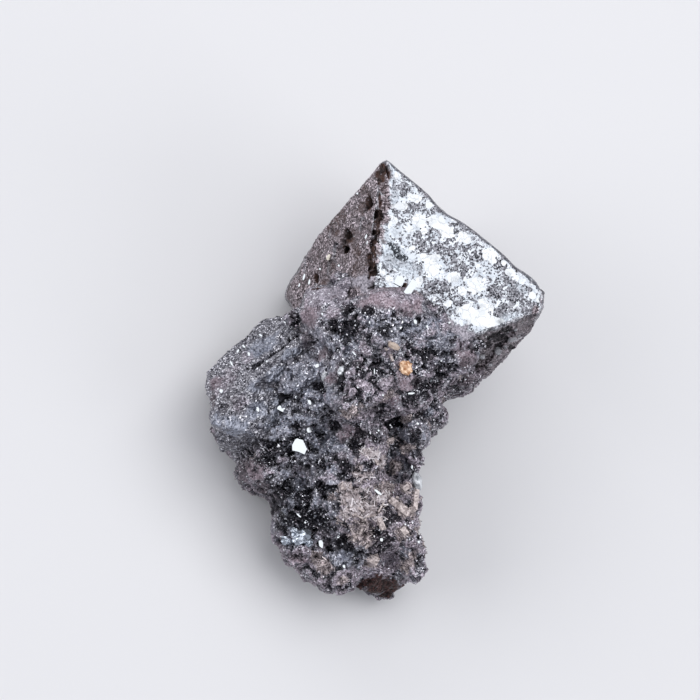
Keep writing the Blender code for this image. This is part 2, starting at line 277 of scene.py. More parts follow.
class Signal:
    # a socket's value, which can be used in ordinary arithmetic
    def __init__(self, shader, socket):
        self.shader = shader
        self.socket = socket

    def joined(self, operation, first, second):
        return self.shader.add("ShaderNodeMath", {"operation": operation}, {0: first, 1: second})

    def __add__(self, other):
        return self.joined("ADD", self, other)

    def __radd__(self, other):
        return self.joined("ADD", other, self)

    def __sub__(self, other):
        return self.joined("SUBTRACT", self, other)

    def __rsub__(self, other):
        return self.joined("SUBTRACT", other, self)

    def __mul__(self, other):
        return self.joined("MULTIPLY", self, other)

    def power(self, other):
        return self.joined("POWER", self, other)

    def larger(self, other):
        return self.joined("MAXIMUM", self, other)

    def ramp(self, low, high):
        # 0 below low and 1 above high, rounded at both ends
        values = {0: self, 1: low, 2: high, 3: 0.0, 4: 1.0}
        return self.shader.add("ShaderNodeMapRange", {"interpolation_type": "SMOOTHSTEP"}, values)


middleGrey = (0.5, 0.5, 0.5)
glossLevel = 0.2        # keeps the pale sheen of dark coats low


class Finish:
    # one material, whose nodes are added by type, settings and inputs
    def __init__(self, name):
        self.material = bpy.data.materials.new(name)
        self.material.use_nodes = True
        self.tree = self.material.node_tree
        self.shader = self.tree.nodes["Principled BSDF"]
        self.shader.inputs["Specular IOR Level"].default_value = glossLevel
        coordinates = self.add("ShaderNodeTexCoord", {}, {}, "Object")
        self.place = self.vector("SCALE", coordinates, scale=1 / mm)

    def add(self, kind, settings, inputs, output=0):
        node = self.tree.nodes.new(kind)
        for key, value in settings.items():
            setattr(node, key, value)
        for key, value in inputs.items():
            self.feed(node.inputs[key], value)
        return Signal(self, node.outputs[output])

    def feed(self, socket, value):
        if isinstance(value, Signal):
            self.tree.links.new(value.socket, socket)
        elif hasattr(socket.default_value, "__len__") and len(value) < len(socket.default_value):
            socket.default_value = (*value, 1.0)
        else:
            socket.default_value = value

    def vector(self, operation, first, second=None, scale=None):
        inputs = {0: first}
        if second is not None:
            inputs[1] = second
        if scale is not None:
            inputs[3] = scale
        return self.add("ShaderNodeVectorMath", {"operation": operation}, inputs)

    def blend(self, share, first, second):
        # two colours or two signals, mixed by share
        return self.add("ShaderNodeMix", {"data_type": "RGBA"}, {0: share, 6: first, 7: second}, 2)

    def covered(self, share, under, tones, grain=None):
        # a coat over a colour: one tone, or a dark and a light one mixed by grain
        return self.blend(share, under, tones if grain is None else self.blend(grain, *tones))

    def field(self, name):
        return self.add("ShaderNodeAttribute", {"attribute_name": name}, {}, "Fac")

    def noise(self, size, detail, shift=0.0):
        moved = self.vector("ADD", self.place, (shift, shift * 1.7, -shift))
        return self.add("ShaderNodeTexNoise", {}, {"Vector": moved, "Scale": 1 / size, "Detail": detail})

    def bentPlace(self, size, uneven, detail, shift):
        # the place, pushed about so that the cells of a mosaic get uneven edges
        wave = {"Vector": self.place, "Scale": 2.2 / size, "Detail": detail}
        bent = self.add("ShaderNodeTexNoise", {}, wave, "Color")
        bent = self.vector("SUBTRACT", bent, middleGrey)
        bent = self.vector("SCALE", bent, scale=size * uneven * 2)
        return self.vector("ADD", self.vector("ADD", self.place, bent), (shift, shift, shift))

    def grains(self, size, uneven=0.35, shift=0.0):
        # a mosaic of grains: a random colour for each
        inputs = {"Vector": self.bentPlace(size, uneven, 1.0, shift), "Scale": 1 / size}
        return self.add("ShaderNodeTexVoronoi", {}, inputs, "Color")

    def cracks(self, size, width, uneven=0.3, shift=0.0):
        # 1 along the lines between the cells of a mosaic
        inputs = {"Vector": self.bentPlace(size, uneven, 2.0, shift), "Scale": 1 / size}
        gap = self.add("ShaderNodeTexVoronoi", {"feature": "DISTANCE_TO_EDGE"}, inputs, "Distance")
        return 1 - gap.ramp(0.0, width / size)

    def channel(self, colour, name):
        return self.add("ShaderNodeSeparateColor", {}, {0: colour}, name)

    def tilted(self, colour, amount):
        # the surface direction, turned for each grain by its random colour
        facing = self.add("ShaderNodeNewGeometry", {}, {}, "Normal")
        way = self.vector("SCALE", self.vector("SUBTRACT", colour, middleGrey), scale=amount)
        return self.vector("NORMALIZE", self.vector("ADD", facing, way))

    def done(self, **inputs):
        names = {"colour": "Base Color", "rough": "Roughness", "metal": "Metallic", "normal": "Normal"}
        for key, value in inputs.items():
            self.feed(self.shader.inputs[names[key]], value)
        return self.material


# The CAD surfaces that everything grows on.
cadMeshes = {name: mergedCopy(name) for name in ("main_crystal", "side_crystal", "matrix")}
cadTrees = {name: treeOf(mesh) for name, mesh in cadMeshes.items()}
wholeTree = treeOf(*cadMeshes.values())
crystalsTree = treeOf(cadMeshes["main_crystal"], cadMeshes["side_crystal"])
print("surfaces ready")


# The main crystal is a mirror-bright octahedron, etched in specks.
mainCrystal = {
    "voxel": 0.146,
    "turn": 110.3,          # where the apex points, in degrees
    "sharpness": 0.8,
    "depth": {
        "etch": 0.05, "grain": 0.07, "strip": 0.08, "hole": 0.46, "stain": 0.16, "groove": 0.12,
        "pitted": 0.12, "dent": 0.10,
    },
    "tone": {"etch": 0.30, "patch": 0.28, "etched": 0.78, "smear": 0.36, "film": 0.35, "edge": 0.35},
    # bright plates, and the etched and satin fields between them
    "plates": [
        (397.5, 176, 3.5, 4), (399, 206, 7, 4), (392, 221.5, 5.5, 5), (419, 221, 9, 7, -10),
        (410, 229, 4.5, 4, -40), (430, 205, 4.5, 4), (415, 198, 8, 4, -30), (437, 222, 9, 7, -35),
        (447, 232, 11, 8, -35), (463, 237, 8, 6, -35), (489, 254, 8, 5, -30), (493, 261, 4, 3),
        (504, 262, 3.5, 3), (511, 272, 5, 4, -30), (431, 257.5, 10, 4, 5), (432, 268.5, 8, 6),
        (383, 272.5, 3.5, 3), (388, 279, 4.5, 4), (399, 281, 4.5, 5), (410, 290, 3.5, 9, -28),
        (419, 283, 4, 6, -20), (475, 283.5, 11, 8), (476, 316, 20, 9, -25), (486, 305, 9, 6, -30),
        (501, 323, 5, 4, -20), (532, 295, 4, 3.5, -30), (539, 300, 3, 3, -60), (453, 277, 6, 5),
        (424, 231, 4, 3), (412, 248, 3, 3), (424, 257, 5, 4), (462, 291, 4, 4), (448, 303, 5, 4),
        (466, 309, 5, 4, 20),
    ],
    "etched": [
        (404, 189, 8, 6, -20), (412.5, 208, 7, 6, -30), (416, 235, 5, 4), (420, 247, 7, 6),
        (443, 251, 9, 5, -15), (454, 257, 7, 4, -20), (477, 258, 6, 4, -20), (394, 189, 4, 9),
        (497, 265, 8, 5, -30), (461, 269, 8, 6), (508, 282, 9, 7, -35), (515, 296, 15, 9, -35),
        (505, 306, 8, 6, -20), (497, 292, 10, 8), (491, 324, 4, 4), (500, 313, 7, 5), (432, 291, 11, 9),
        (419, 295, 8, 5), (445, 312, 7, 5, -30), (461, 303, 6, 5), (418, 268, 5, 5), (444, 285, 7, 6),
        (528, 308, 9, 6, 30), (456, 232, 1.4, 2.0), (499, 261, 6, 4, -30), (507, 276, 6, 4, -30),
    ],
    "satin": [
        (395, 256, 12, 12, 20), (387, 240, 4, 26, 8), (394, 196, 5, 12), (408, 268, 13, 7, -10),
        (391, 175, 4, 9), (531, 322, 6, 4, 30), (512, 318, 12, 5, 20), (522, 290, 8, 3, -40),
    ],
    # pitted, lumpy places, most of them on the near face, with painted shade in their pits
    "pitted": [
        (397, 250, 5.5, 3.2, -30), (402, 257, 4.5, 3, -30), (391, 246, 3.4, 3, 10), (396, 256, 4, 2.4),
        (496, 338, 13, 8, -20), (487, 346, 5, 6), (508, 331, 9, 5, -25), (500, 347, 5, 4), (483, 372, 6, 4),
        (512, 349, 4, 5, 30), (476, 350, 4, 6),
    ],
    # the dull strip along the left ridge, and the dull tip
    "strip": [
        (386, 172, 4.5, 9, 8), (385, 188, 5, 9, 6), (384, 203, 5.5, 9, 6), (382, 218, 6, 9, 8),
        (379, 232, 6.5, 9, 10), (375, 246, 6, 9, 10), (371, 260, 6, 9, 8), (369, 275, 6, 10, 5),
        (536, 311, 5, 3, 60), (529, 322, 6, 2.5, 25), (541, 303, 1.5, 8, 10),
    ],
    # where the groundmass has crept over the crystal as a thin lavender coat
    "veiled": [
        (460, 332, 14, 7, -27), (468, 338, 14, 5, -25), (449, 322, 7, 4, -50), (344, 284, 24, 5, 10),
        (362, 280, 12, 6, 8), (328, 288, 14, 4, 12), (366, 287, 8, 6),
    ],
    "groove": [
        (378.5, 214, 3.6, 5, 12), (376, 222, 2.8, 4, 30), (374, 230, 2.2, 5), (374.5, 240, 3.6, 5, -10),
        (372.5, 249, 3.0, 5, 15), (370.5, 257, 3.6, 4), (370.5, 265, 2.4, 5, -5), (374, 269, 2.4, 6),
        (369, 273, 2.0, 4), (380, 203, 1.6, 5, 8),
    ],
    "brown": [
        (383, 168, 3, 5, 30), (380, 177, 4, 6, 20), (388.5, 172, 1.2, 6, 5), (380, 200, 1.8, 7, 8),
        (368.6, 202, 3.6, 6), (347, 236, 5.5, 8, 20), (345, 249, 4, 4, 30), (316, 279, 2.4, 4.5, 10),
        (404, 287, 2.0, 4.5, -35),
    ],
    # thin brown smears on the left face
    "smears": [
        (362, 208, 8, 7), (341, 214, 6, 7, 30), (331, 229, 7, 8), (334.5, 222.5, 7, 5, 30),
        (335.5, 233, 5, 4, 20), (352, 236, 5, 9), (333, 265, 6, 7), (355, 268, 5, 8), (325, 283, 6, 4),
        (364, 190, 4, 8, 30), (356, 250, 5, 5), (366, 262, 4, 6),
    ],
    # dark stone with painted shade in the holes and the groove
    "black": [
        (368.6, 201, 2.8, 4.6, -5), (365, 207, 2.2, 3, 20), (378, 215, 3.0, 4.5, 12),
        (346, 234, 4.0, 4.6, 20), (344.5, 249.5, 3.4, 3.4, 30), (369.5, 268, 1.6, 5, 5), (376, 270, 1.4, 5),
        (342.5, 242, 2.4, 4), (316, 279, 1.8, 3.4, 10), (456, 232, 1.3, 1.8), (388.4, 172, 0.8, 5, 5),
        (371.5, 288, 3, 5), (403, 287, 1.6, 4, -35),
    ],
}


def crystalAxes():
    # half-axes towards the apex, the front corner and the right tip
    turn = math.radians(mainCrystal["turn"])
    up = Vector((0, 0, 1))
    towards = Vector((math.cos(turn), math.sin(turn), 0))
    side = up.cross(towards)
    apex = up / math.sqrt(3) + towards * math.sqrt(2 / 3)
    front = up / math.sqrt(3) - towards / math.sqrt(6) + side / math.sqrt(2)
    tip = up / math.sqrt(3) - towards / math.sqrt(6) - side / math.sqrt(2)
    return apex, front, tip


def faceShare(outward, signs):
    direction = sum((sign * axis for sign, axis in zip(signs, crystalAxes())), Vector()).normalized()
    return smoothStep(0.90, 0.97, outward @ np.array(direction))


def belowFaces(points, height):
    # how far each point lies below the eight faces of the whole octahedron
    centre = np.array((0, 0, height / 2))
    highest = np.full(len(points), -99.0)
    for signs in itertools.product((1, -1), repeat=3):
        direction = sum((sign * axis for sign, axis in zip(signs, crystalAxes())), Vector()).normalized()
        highest = np.maximum(highest, (points - centre) @ np.array(direction) - height / 2)
    return -highest


def sharpened(points, outward, height):
    # brings the rounded edges of the octahedron out, and leaves its faces as they are
    facing = np.max([faceShare(outward, signs) for signs in itertools.product((1, -1), repeat=3)], axis=0)
    below = belowFaces(points, height)
    push = np.clip(below, 0, 1) * (1 - smoothStep(0.20, 0.34, below)) * (1 - facing)
    return points + outward * (push * mainCrystal["sharpness"])[:, None]


def mainFields(points, tree, face, below):
    # where each mark and coat of the crystal lies
    tone = mainCrystal["tone"]
    kinds = ("plates", "etched", "satin", "strip", "veiled", "brown", "pitted")
    field = {key: spotField(points, mainCrystal[key], tree) for key in kinds}
    field["groove"] = spotField(points, mainCrystal["groove"], tree, 0.75, 0.18, 44)
    field["black"] = spotField(points, mainCrystal["black"], tree, 0.55, 0.18, 46)
    raiseField(field, "black", field["groove"] * smoothStep(0.0, 0.4, layeredNoise(points, 0.7, 2, 48)))
    smears = spotField(points, mainCrystal["smears"], tree, 0.6, 0.6, 52)
    raiseField(field, "brown", np.maximum(field["groove"], smears * tone["smear"]))
    field["etch"] = np.clip(tone["etch"] + tone["patch"] * layeredNoise(points, 1.5, 3, 5), 0.04, 0.8)
    raiseField(field, "etch", field["etched"] * tone["etched"])
    field["veiled"] = np.clip(field["veiled"] * 1.4, 0, 1)
    field["strip"] = np.maximum(np.clip(field["strip"] * 1.5, 0, 1), field["veiled"])
    # away from its edges the left face gets painted shade, in the brown of the stains
    film = smoothStep(0.22, 0.5, below) * (1 - face["top"]) * face["left"]
    field["stain"] = np.clip(np.maximum(field["brown"] * 1.2, film * tone["film"]), 0, 1)
    rest = 1 - face["top"] - face["right"] * 0.6
    grain = np.clip(np.maximum(face["left"], face["near"] * 0.9) + rest * 0.55, 0, 1)
    grain = np.maximum(grain * (1 - face["edge"] * 0.6), face["edge"] * tone["edge"])
    field["grain"] = np.maximum(grain, field["strip"])
    return field


def mainDepth(points, field, face, below):
    # how far the surface is cut back, in mm
    deep = mainCrystal["depth"]
    top, left, near, strip = face["top"], face["left"], face["near"], field["strip"]
    rough = softNoise(points, 0.30, 21) + softNoise(points, 0.55, 22)
    depth = deep["etch"] * field["etch"] * (0.6 + 0.4 * rough) * top * (1 - field["plates"])
    depth += deep["grain"] * field["grain"] * (0.8 + 0.6 * rough) * (1 - top)
    thin = (strip - field["veiled"] * 1.6) * np.maximum(top, field["veiled"])
    depth += deep["strip"] * thin * (1 + 0.5 * rough)
    depth += deep["hole"] * field["black"] + deep["stain"] * field["stain"] * np.maximum(left, strip)
    depth += deep["groove"] * field["groove"] + deep["pitted"] * field["pitted"] * (1 - top) * (1 + rough)
    worn = np.clip(np.maximum(near, 1 - top - left - face["right"]), 0, 1)
    worn = worn * (1 - 0.6 * smoothStep(0.6, 0.2, below) * (1 - near))
    dents = deep["dent"] * np.clip(layeredNoise(points, 0.9, 3, 31), 0, 1)
    depth += worn * (dents + blockRelief(points, 0.8, 0.3, 33))
    return np.clip(depth, -0.1, 0.6)


def makeMainCrystal():
    tree = cadTrees["main_crystal"]
    mesh = evenSkin(cadMeshes["main_crystal"], mainCrystal["voxel"])
    points, outward, _ = nearestOn(tree, pointsOf(mesh))
    height = points[:, 2].max()
    points = sharpened(points, outward, height)
    level = outward[:, 2]
    top = smoothStep(0.97, 0.995, level) * smoothStep(height - 0.08, height - 0.02, points[:, 2])
    face = {
        "top": top,
        "left": faceShare(outward, (1, 1, -1)) * (1 - top),
        "near": faceShare(outward, (-1, 1, 1)),
        "right": faceShare(outward, (1, -1, 1)),
        "edge": smoothStep(0.999, 0.985, level) * smoothStep(height - 0.6, height - 0.1, points[:, 2]),
    }
    below = belowFaces(points, height)
    points = shaped(points)
    field = mainFields(points, tree, face, below)
    setPoints(mesh, points - outward * mainDepth(points, field, face, below)[:, None])
    clear = smoothStep(0.2, 0.4, points[:, 2]) * (1 - field["brown"] * 0.6)
    addFields(mesh, {
        "plate": field["plates"] * top,
        "satin": field["satin"] * top,
        # the stains, with the painted shade of the left face
        "brown": field["stain"],
        "black": field["black"] * 1.3,
        # dark marks the near face, which gets painted shade
        "dark": face["near"],
        "druse": np.clip(np.maximum(face["left"] * 0.8, face["near"]), 0, 1) * clear,
        **{key: field[key] for key in ("veiled", "etch", "grain", "pitted")},
    })
    return mesh


# dark and light tones, mixed by the grain of the stone
mirrorTones = {
    "frosted": ((0.30, 0.325, 0.36), (0.42, 0.44, 0.47)),
    "satin": ((0.30, 0.330, 0.375), (0.52, 0.56, 0.61)),
    "mirror": ((0.360, 0.375, 0.395), (0.445, 0.455, 0.465)),
    "seam": (0.12, 0.13, 0.15),
    "speck": ((0.070, 0.068, 0.080), (0.42, 0.42, 0.46)),
    "pittedSpeck": (0.030, 0.040, 0.048),
    "granular": ((0.036, 0.027, 0.030), (0.76, 0.66, 0.71)),
    "stain": (0.095, 0.070, 0.072),
    # painted shade of the near face
    "nearFaceShade": ((0.018, 0.016, 0.019), (0.42, 0.39, 0.42)),
    # painted shade in the pits
    "pit": (0.009, 0.009, 0.011),
    "lavender": ((0.19, 0.178, 0.210), (0.52, 0.485, 0.54)),
    "rust": ((0.012, 0.006, 0.005), (0.080, 0.040, 0.030)),
    # the holes: dark stone with painted shade
    "hole": (0.009, 0.005, 0.004),
}


def mirrorHematite():
    finish = Finish("mirrorHematite")
    tones = mirrorTones
    names = ("plate", "etch", "grain", "satin", "veiled", "brown", "black", "pitted", "dark")
    plate, etch, grain, satin, veiled, brown, black, pitted, dark = [finish.field(name) for name in names]
    fine = finish.grains(0.125)
    fineOne = finish.channel(fine, "Red")
    fineTwo = finish.channel(fine, "Blue")
    coarse = finish.channel(finish.grains(0.26, shift=3.1), "Red")
    frost = finish.channel(finish.grains(0.70, 0.5, shift=7.7), "Red")
    cloud = finish.noise(0.45, 3.0)
    # mirror plates, frosted plates between them, and specks etched into those
    plain = (plate + cloud * 0.7 - 0.35).ramp(0.50, 0.66)
    fineSpeck = (etch * 1.05 - fineOne).ramp(-0.06, 0.16)
    coarseSpeck = (etch * 0.8 - coarse).ramp(-0.04, 0.12)
    speck = fineSpeck.larger(coarseSpeck) * (1 - plain) * (1 - satin * 0.5)
    speck = speck.larger((pitted * 0.95 - fineTwo).ramp(0.0, 0.15))
    seams = finish.cracks(0.85, 0.075, shift=2.0) * cloud.ramp(0.30, 0.55)
    mirror = finish.blend(frost, *tones["frosted"])
    mirror = finish.covered(satin * 0.8, mirror, tones["satin"], fineTwo)
    mirror = finish.covered(plain, mirror, tones["mirror"], frost)
    mirror = finish.covered(seams * 0.4, mirror, tones["seam"])
    speckled = finish.blend(fineTwo.power(1.3), *tones["speck"])
    speckled = finish.covered(pitted * 0.7, speckled, tones["pittedSpeck"])
    # the granular faces, with their stains, coats and holes, painted shade on the near face and painted
    # shade in the pits
    stained = finish.noise(1.3, 3.0, shift=9.0).ramp(0.45, 0.65)
    pits = (pitted * 1.4 - fineTwo * 0.75).ramp(0.1, 0.8)
    granular = finish.blend(fineOne.power(2.0), *tones["granular"])
    granular = finish.covered(stained * 0.5, granular, tones["stain"])
    # painted shade on the near face
    granular = finish.covered(dark * 0.52, granular, tones["nearFaceShade"], fineTwo.power(1.6))
    # painted shade in the pits of the granular faces
    granular = finish.covered(pits * 0.85, granular, tones["pit"])
    granular = finish.covered(veiled * (1 - dark * 0.3), granular, tones["lavender"], fineTwo)
    colour = finish.blend(grain, finish.blend(speck, mirror, speckled), granular)
    # rust-brown stains, and the painted shade of the left face
    colour = finish.covered((brown * 1.3).ramp(0.05, 0.9) * 0.95, colour, tones["rust"], coarse)
    # dark stone with painted shade in the holes
    colour = finish.covered(black, colour, tones["hole"])
    loose = (speck * (1 - grain) + grain).larger(satin * 0.45)
    rough = 0.10 + satin * 0.13 + loose * (0.18 + fineTwo * 0.25) + brown * 0.3 + black * 0.4
    metal = 1 - (brown + grain * 0.35 + veiled * 0.4 + black).ramp(0.0, 1.0)
    return finish.done(colour=colour, rough=rough, metal=metal, normal=finish.tilted(fine, loose * 1.1))


mainMesh = makeMainCrystal()
mainHost = mainMesh.copy()
finishPiece("mainCrystalSkin", mainMesh, mirrorHematite(), "main_crystal", smooth=True)


# The coats of the side crystal and the groundmass, with painted shade and painted sheen among them, as spots
# in the view.
coats = {
    "rosy": [
        (330, 380, 6, 4), (318, 356, 5, 5), (394, 400, 8, 5), (370, 300, 15, 6, 10), (386, 303, 14, 6),
        (408, 308, 14, 7, -10), (418, 305, 5, 6, -30), (310, 316, 12, 12), (466, 357, 9, 12),
        (458, 348, 8, 6), (410, 385, 16, 8, 20), (390, 398, 10, 7), (352, 432, 12, 6), (322, 352, 8, 6),
        (214, 384, 5, 8, -40), (255, 470, 14, 8, -45), (300, 560, 8, 5, -30), (345, 432, 8, 8),
    ],
    "lavender": [
        (466, 330, 17, 6, -22), (452, 322, 8, 4, -30), (326, 291, 30, 6, 8), (352, 284, 16, 6, 12),
        (366, 283, 8, 6), (342, 300, 12, 5, 30), (375, 290, 12, 2.5, 20), (395, 287.5, 12, 2.5, -8),
        (408, 296, 5, 3, -50), (318, 302, 12, 4, 10),
    ],
    "mauve": [
        (322, 565, 15, 12), (410, 560, 11, 13), (338, 577, 14, 8), (325, 293, 30, 8, 6), (398, 299, 26, 9),
        (436, 306, 12, 6, -20), (466, 331, 14, 8, -10), (310, 312, 12, 18), (333, 314, 8, 10),
        (222, 382, 10, 24, -42), (246, 356, 8, 6, -30), (240, 404, 10, 10), (352, 386, 12, 9),
        (350, 417, 16, 9), (345, 432, 10, 8), (385, 388, 18, 10), (406, 378, 14, 10),
        (318, 566, 14, 14, 30), (300, 556, 10, 8), (282, 545, 7, 9), (405, 556, 16, 16), (345, 578, 22, 10),
        (300, 472, 12, 8), (412, 430, 14, 8), (366, 342, 8, 8), (258, 470, 12, 8, -40), (330, 563, 12, 8),
        (468, 350, 7, 8), (388, 350, 7, 9), (334, 456, 12, 8), (378, 578, 14, 5), (372, 500, 34, 30),
        (378, 455, 24, 12), (400, 530, 14, 20), (366, 372, 10, 6), (430, 360, 8, 6), (460, 372, 12, 6),
        (325, 478, 12, 6), (310, 340, 10, 10),
    ],
    "tan": [
        (324, 566, 8, 9), (411, 559, 7, 9), (342, 580, 6, 3), (370, 453, 9, 4, -10), (380, 464, 4.5, 9, 15),
        (366, 478, 10, 4.5, 10), (357, 470, 5, 7), (346, 488, 9, 5), (364, 503, 20, 11), (350, 497, 9, 7),
        (352, 511, 10, 6, 20), (374, 512, 8, 6), (362, 524, 9, 4, 20), (356, 537, 4, 7, 40),
        (367, 538, 2.5, 7, 30), (400, 508, 13, 6, -35), (415, 500, 3, 12), (405, 489, 6, 5),
        (409, 513, 7, 5), (395, 466, 6, 8), (403, 534, 8, 7), (372, 562, 7, 5, -20), (404, 566, 6, 5),
        (350, 414, 12, 6, 20), (407, 419, 7, 4), (390, 440, 10, 4), (405, 449, 8, 5), (330, 498, 5, 4),
        (390, 394, 8, 4, 20), (318, 558, 7, 5, -40), (385, 490, 10, 8),
    ],
    # dark stone with painted shade in the hollows and holes
    "black": [
        (407, 345, 7, 5), (340, 370, 9, 8), (392, 516, 7, 8), (374, 550, 7, 6), (300, 557, 7, 4),
        (292, 506, 20, 26, 20), (318, 522, 26, 18), (302, 485, 12, 10), (322, 486, 10, 8),
        (345, 545, 12, 10), (352, 326, 12, 12), (286, 520, 12, 14), (272, 505, 6, 16, -15),
        (418, 445, 5, 14), (321, 462, 11, 8), (415, 440, 8, 9), (414, 402, 8, 8), (300, 424, 8, 5),
        (381, 537, 9, 7), (388, 512, 5, 8, 20), (388, 541, 8, 5), (394, 518, 7, 5), (372, 467, 5, 3),
        (400, 496.5, 6, 2.5), (353, 481, 8, 2.5), (384, 547, 7, 5), (345, 526, 5, 6, 20), (338, 326, 8, 8),
        (285, 490, 12, 12), (378, 533, 6, 10), (379, 552, 8, 8), (388, 508, 7, 6, -45),
        (344, 470, 6, 12, -10), (358, 440, 9, 9), (380, 410, 9, 8), (392, 424, 10, 6), (432, 386, 16, 8),
        (440, 400, 8, 6), (428, 352, 12, 8), (412, 352, 6, 6), (283, 399, 3.5, 6), (294, 318, 5, 14, 12),
        (372, 437, 6, 6), (366, 310, 7, 5), (334, 425, 8, 6), (290, 440, 12, 7), (272, 448, 14, 7),
        (408, 402, 8, 8), (356, 366, 9, 7), (372, 284, 8, 4, -15), (353, 295, 6, 6, -40), (345, 308, 6, 7),
        (265, 458, 10, 6), (340, 378, 7, 6), (330, 412, 8, 7), (400, 334, 8, 5), (315, 384, 6, 5),
        (345, 398, 5, 6), (340, 350, 6, 5), (420, 412, 6, 8), (408, 522, 4, 6), (408, 548, 5, 4),
        (355, 562, 6, 4), (290, 455, 8, 6), (450, 392, 10, 4), (312, 446, 7, 6),
    ],
    # blue-grey lumps with painted sheen
    "sheen": [
        (278, 420, 14, 10), (262, 346, 17, 7, 30), (280, 374, 22, 8, 32), (236, 428, 14, 10, -30),
        (217, 421, 6, 8), (292, 541, 9, 5, -10), (302, 535, 7, 5), (320, 345, 9, 6), (455, 345, 7, 5),
        (330, 468, 10, 6), (300, 362, 12, 8, 10), (345, 336, 10, 5), (470, 362, 6, 6), (325, 445, 12, 7),
        (326, 398, 12, 8), (419, 482, 3, 7), (290, 353, 10, 5, 30), (258, 385, 12, 6, 20), (303, 392, 9, 9),
        (376, 325, 8, 5), (258, 410, 12, 8), (408, 327, 12, 6, 20), (435, 322, 12, 6, 20),
        (345, 555, 10, 6), (300, 420, 10, 6), (280, 402, 8, 5), (404, 440, 7, 5),
    ],
    # painted shade: dark and even along the lower edges
    "dim": [
        (481, 376, 8, 8), (484, 373, 16, 10, -35), (468, 362, 8, 6), (468, 380, 18, 7, -5),
        (452, 386, 8, 4), (476, 366, 7, 6), (242, 472, 10, 16, -40), (263, 486, 9, 8, -30),
        (228, 455, 5, 8, -30), (209, 432, 3, 10, 10), (262, 492, 6, 5, -30), (272, 545, 3, 14, 15),
        (290, 567, 10, 3, -40), (212, 400, 3, 8), (366, 531, 14, 12, 20),
    ],
    # darker patches, which join the painted shade weakly
    "dusky": [
        (310, 315, 13, 16), (320, 331, 10, 9), (360, 283, 9, 4, 10), (330, 360, 8, 6), (345, 460, 6, 6),
        (230, 400, 8, 12, -40),
    ],
    "brown": [
        (382, 587, 19, 10), (372, 585, 12, 7), (385, 593, 15, 9), (376, 591, 14, 8), (355, 587, 12, 4),
        (278, 546, 4, 8, 30), (292, 568, 8, 4, -40), (320, 288, 7, 1.6, 12), (205, 396, 3, 8),
        (208, 435, 4, 5),
    ],
}


def coatFields(points, normals):
    # patches listed one by one where they are known, and by noise all over
    field = {key: spotField(points, spots, wholeTree, 0.45, 0.45, 60) for key, spots in coats.items()}
    facing = smoothStep(-0.1, 0.3, normals @ np.array(viewBack))
    hidden = 1 - facing
    wild = layeredNoise(points, 4.5, 3, 71)
    other = layeredNoise(points, 3.6, 3, 75)
    # the dusky patches join the painted shade
    raiseField(field, "dim", field.pop("dusky") * 0.35)
    for key in field:
        field[key] = field[key] * facing
    raiseField(field, "mauve", smoothStep(0.15, 0.6, wild) * (0.25 + 0.55 * hidden))
    raiseField(field, "tan", smoothStep(0.45, 0.9, other) * hidden * 0.8)
    raiseField(field, "black", smoothStep(0.1, 0.7, -wild) * (0.2 + 0.6 * hidden))
    raiseField(field, "sheen", smoothStep(0.3, 0.8, -other) * hidden * 0.6)
    field["brown"] += smoothStep(0.55, 0.95, wild) * hidden * 0.5
    field["rosy"] += smoothStep(0.2, 0.6, other) * hidden * 0.6
    # tan grows over the other coats, and places with painted shade have little mauve
    for key in ("mauve", "rosy", "lavender", "sheen", "brown", "black"):
        field[key] = field[key] * (1 - 0.8 * field["tan"])
    field["mauve"] = field["mauve"] * (1 - 0.8 * field["dim"])
    return field


# dark and light tones of each coat, mixed by the grain of the stone
coatTones = {
    "steel": ((0.037, 0.037, 0.050), (0.94, 0.93, 1.0)),
    "coarse": (0.108, 0.101, 0.125),
    # blue-grey tone with painted sheen
    "sheen": ((0.142, 0.154, 0.195), (0.54, 0.57, 0.67)),
    "mauve": ((0.120, 0.102, 0.118), (0.80, 0.700, 0.800)),
    "rosy": ((0.120, 0.084, 0.098), (0.40, 0.30, 0.34)),
    "lavender": ((0.150, 0.138, 0.165), (0.58, 0.54, 0.61)),
    # painted shade
    "dim": ((0.022, 0.016, 0.020), (0.200, 0.160, 0.180)),
    # dark stone with painted shade in hollows, pits and holes
    "black": (0.009, 0.008, 0.012),
    # painted glint: near-white grains that stand in for sparkles
    "paintedGlint": (0.95, 0.95, 1.0),
    "tan": ((0.098, 0.080, 0.085), (1.0, 0.875, 0.885)),
    "fibre": (1.0, 0.92, 0.94),
    "brown": ((0.007, 0.003, 0.003), (0.125, 0.062, 0.058)),
    "shade": (0.03, 0.028, 0.033),
}


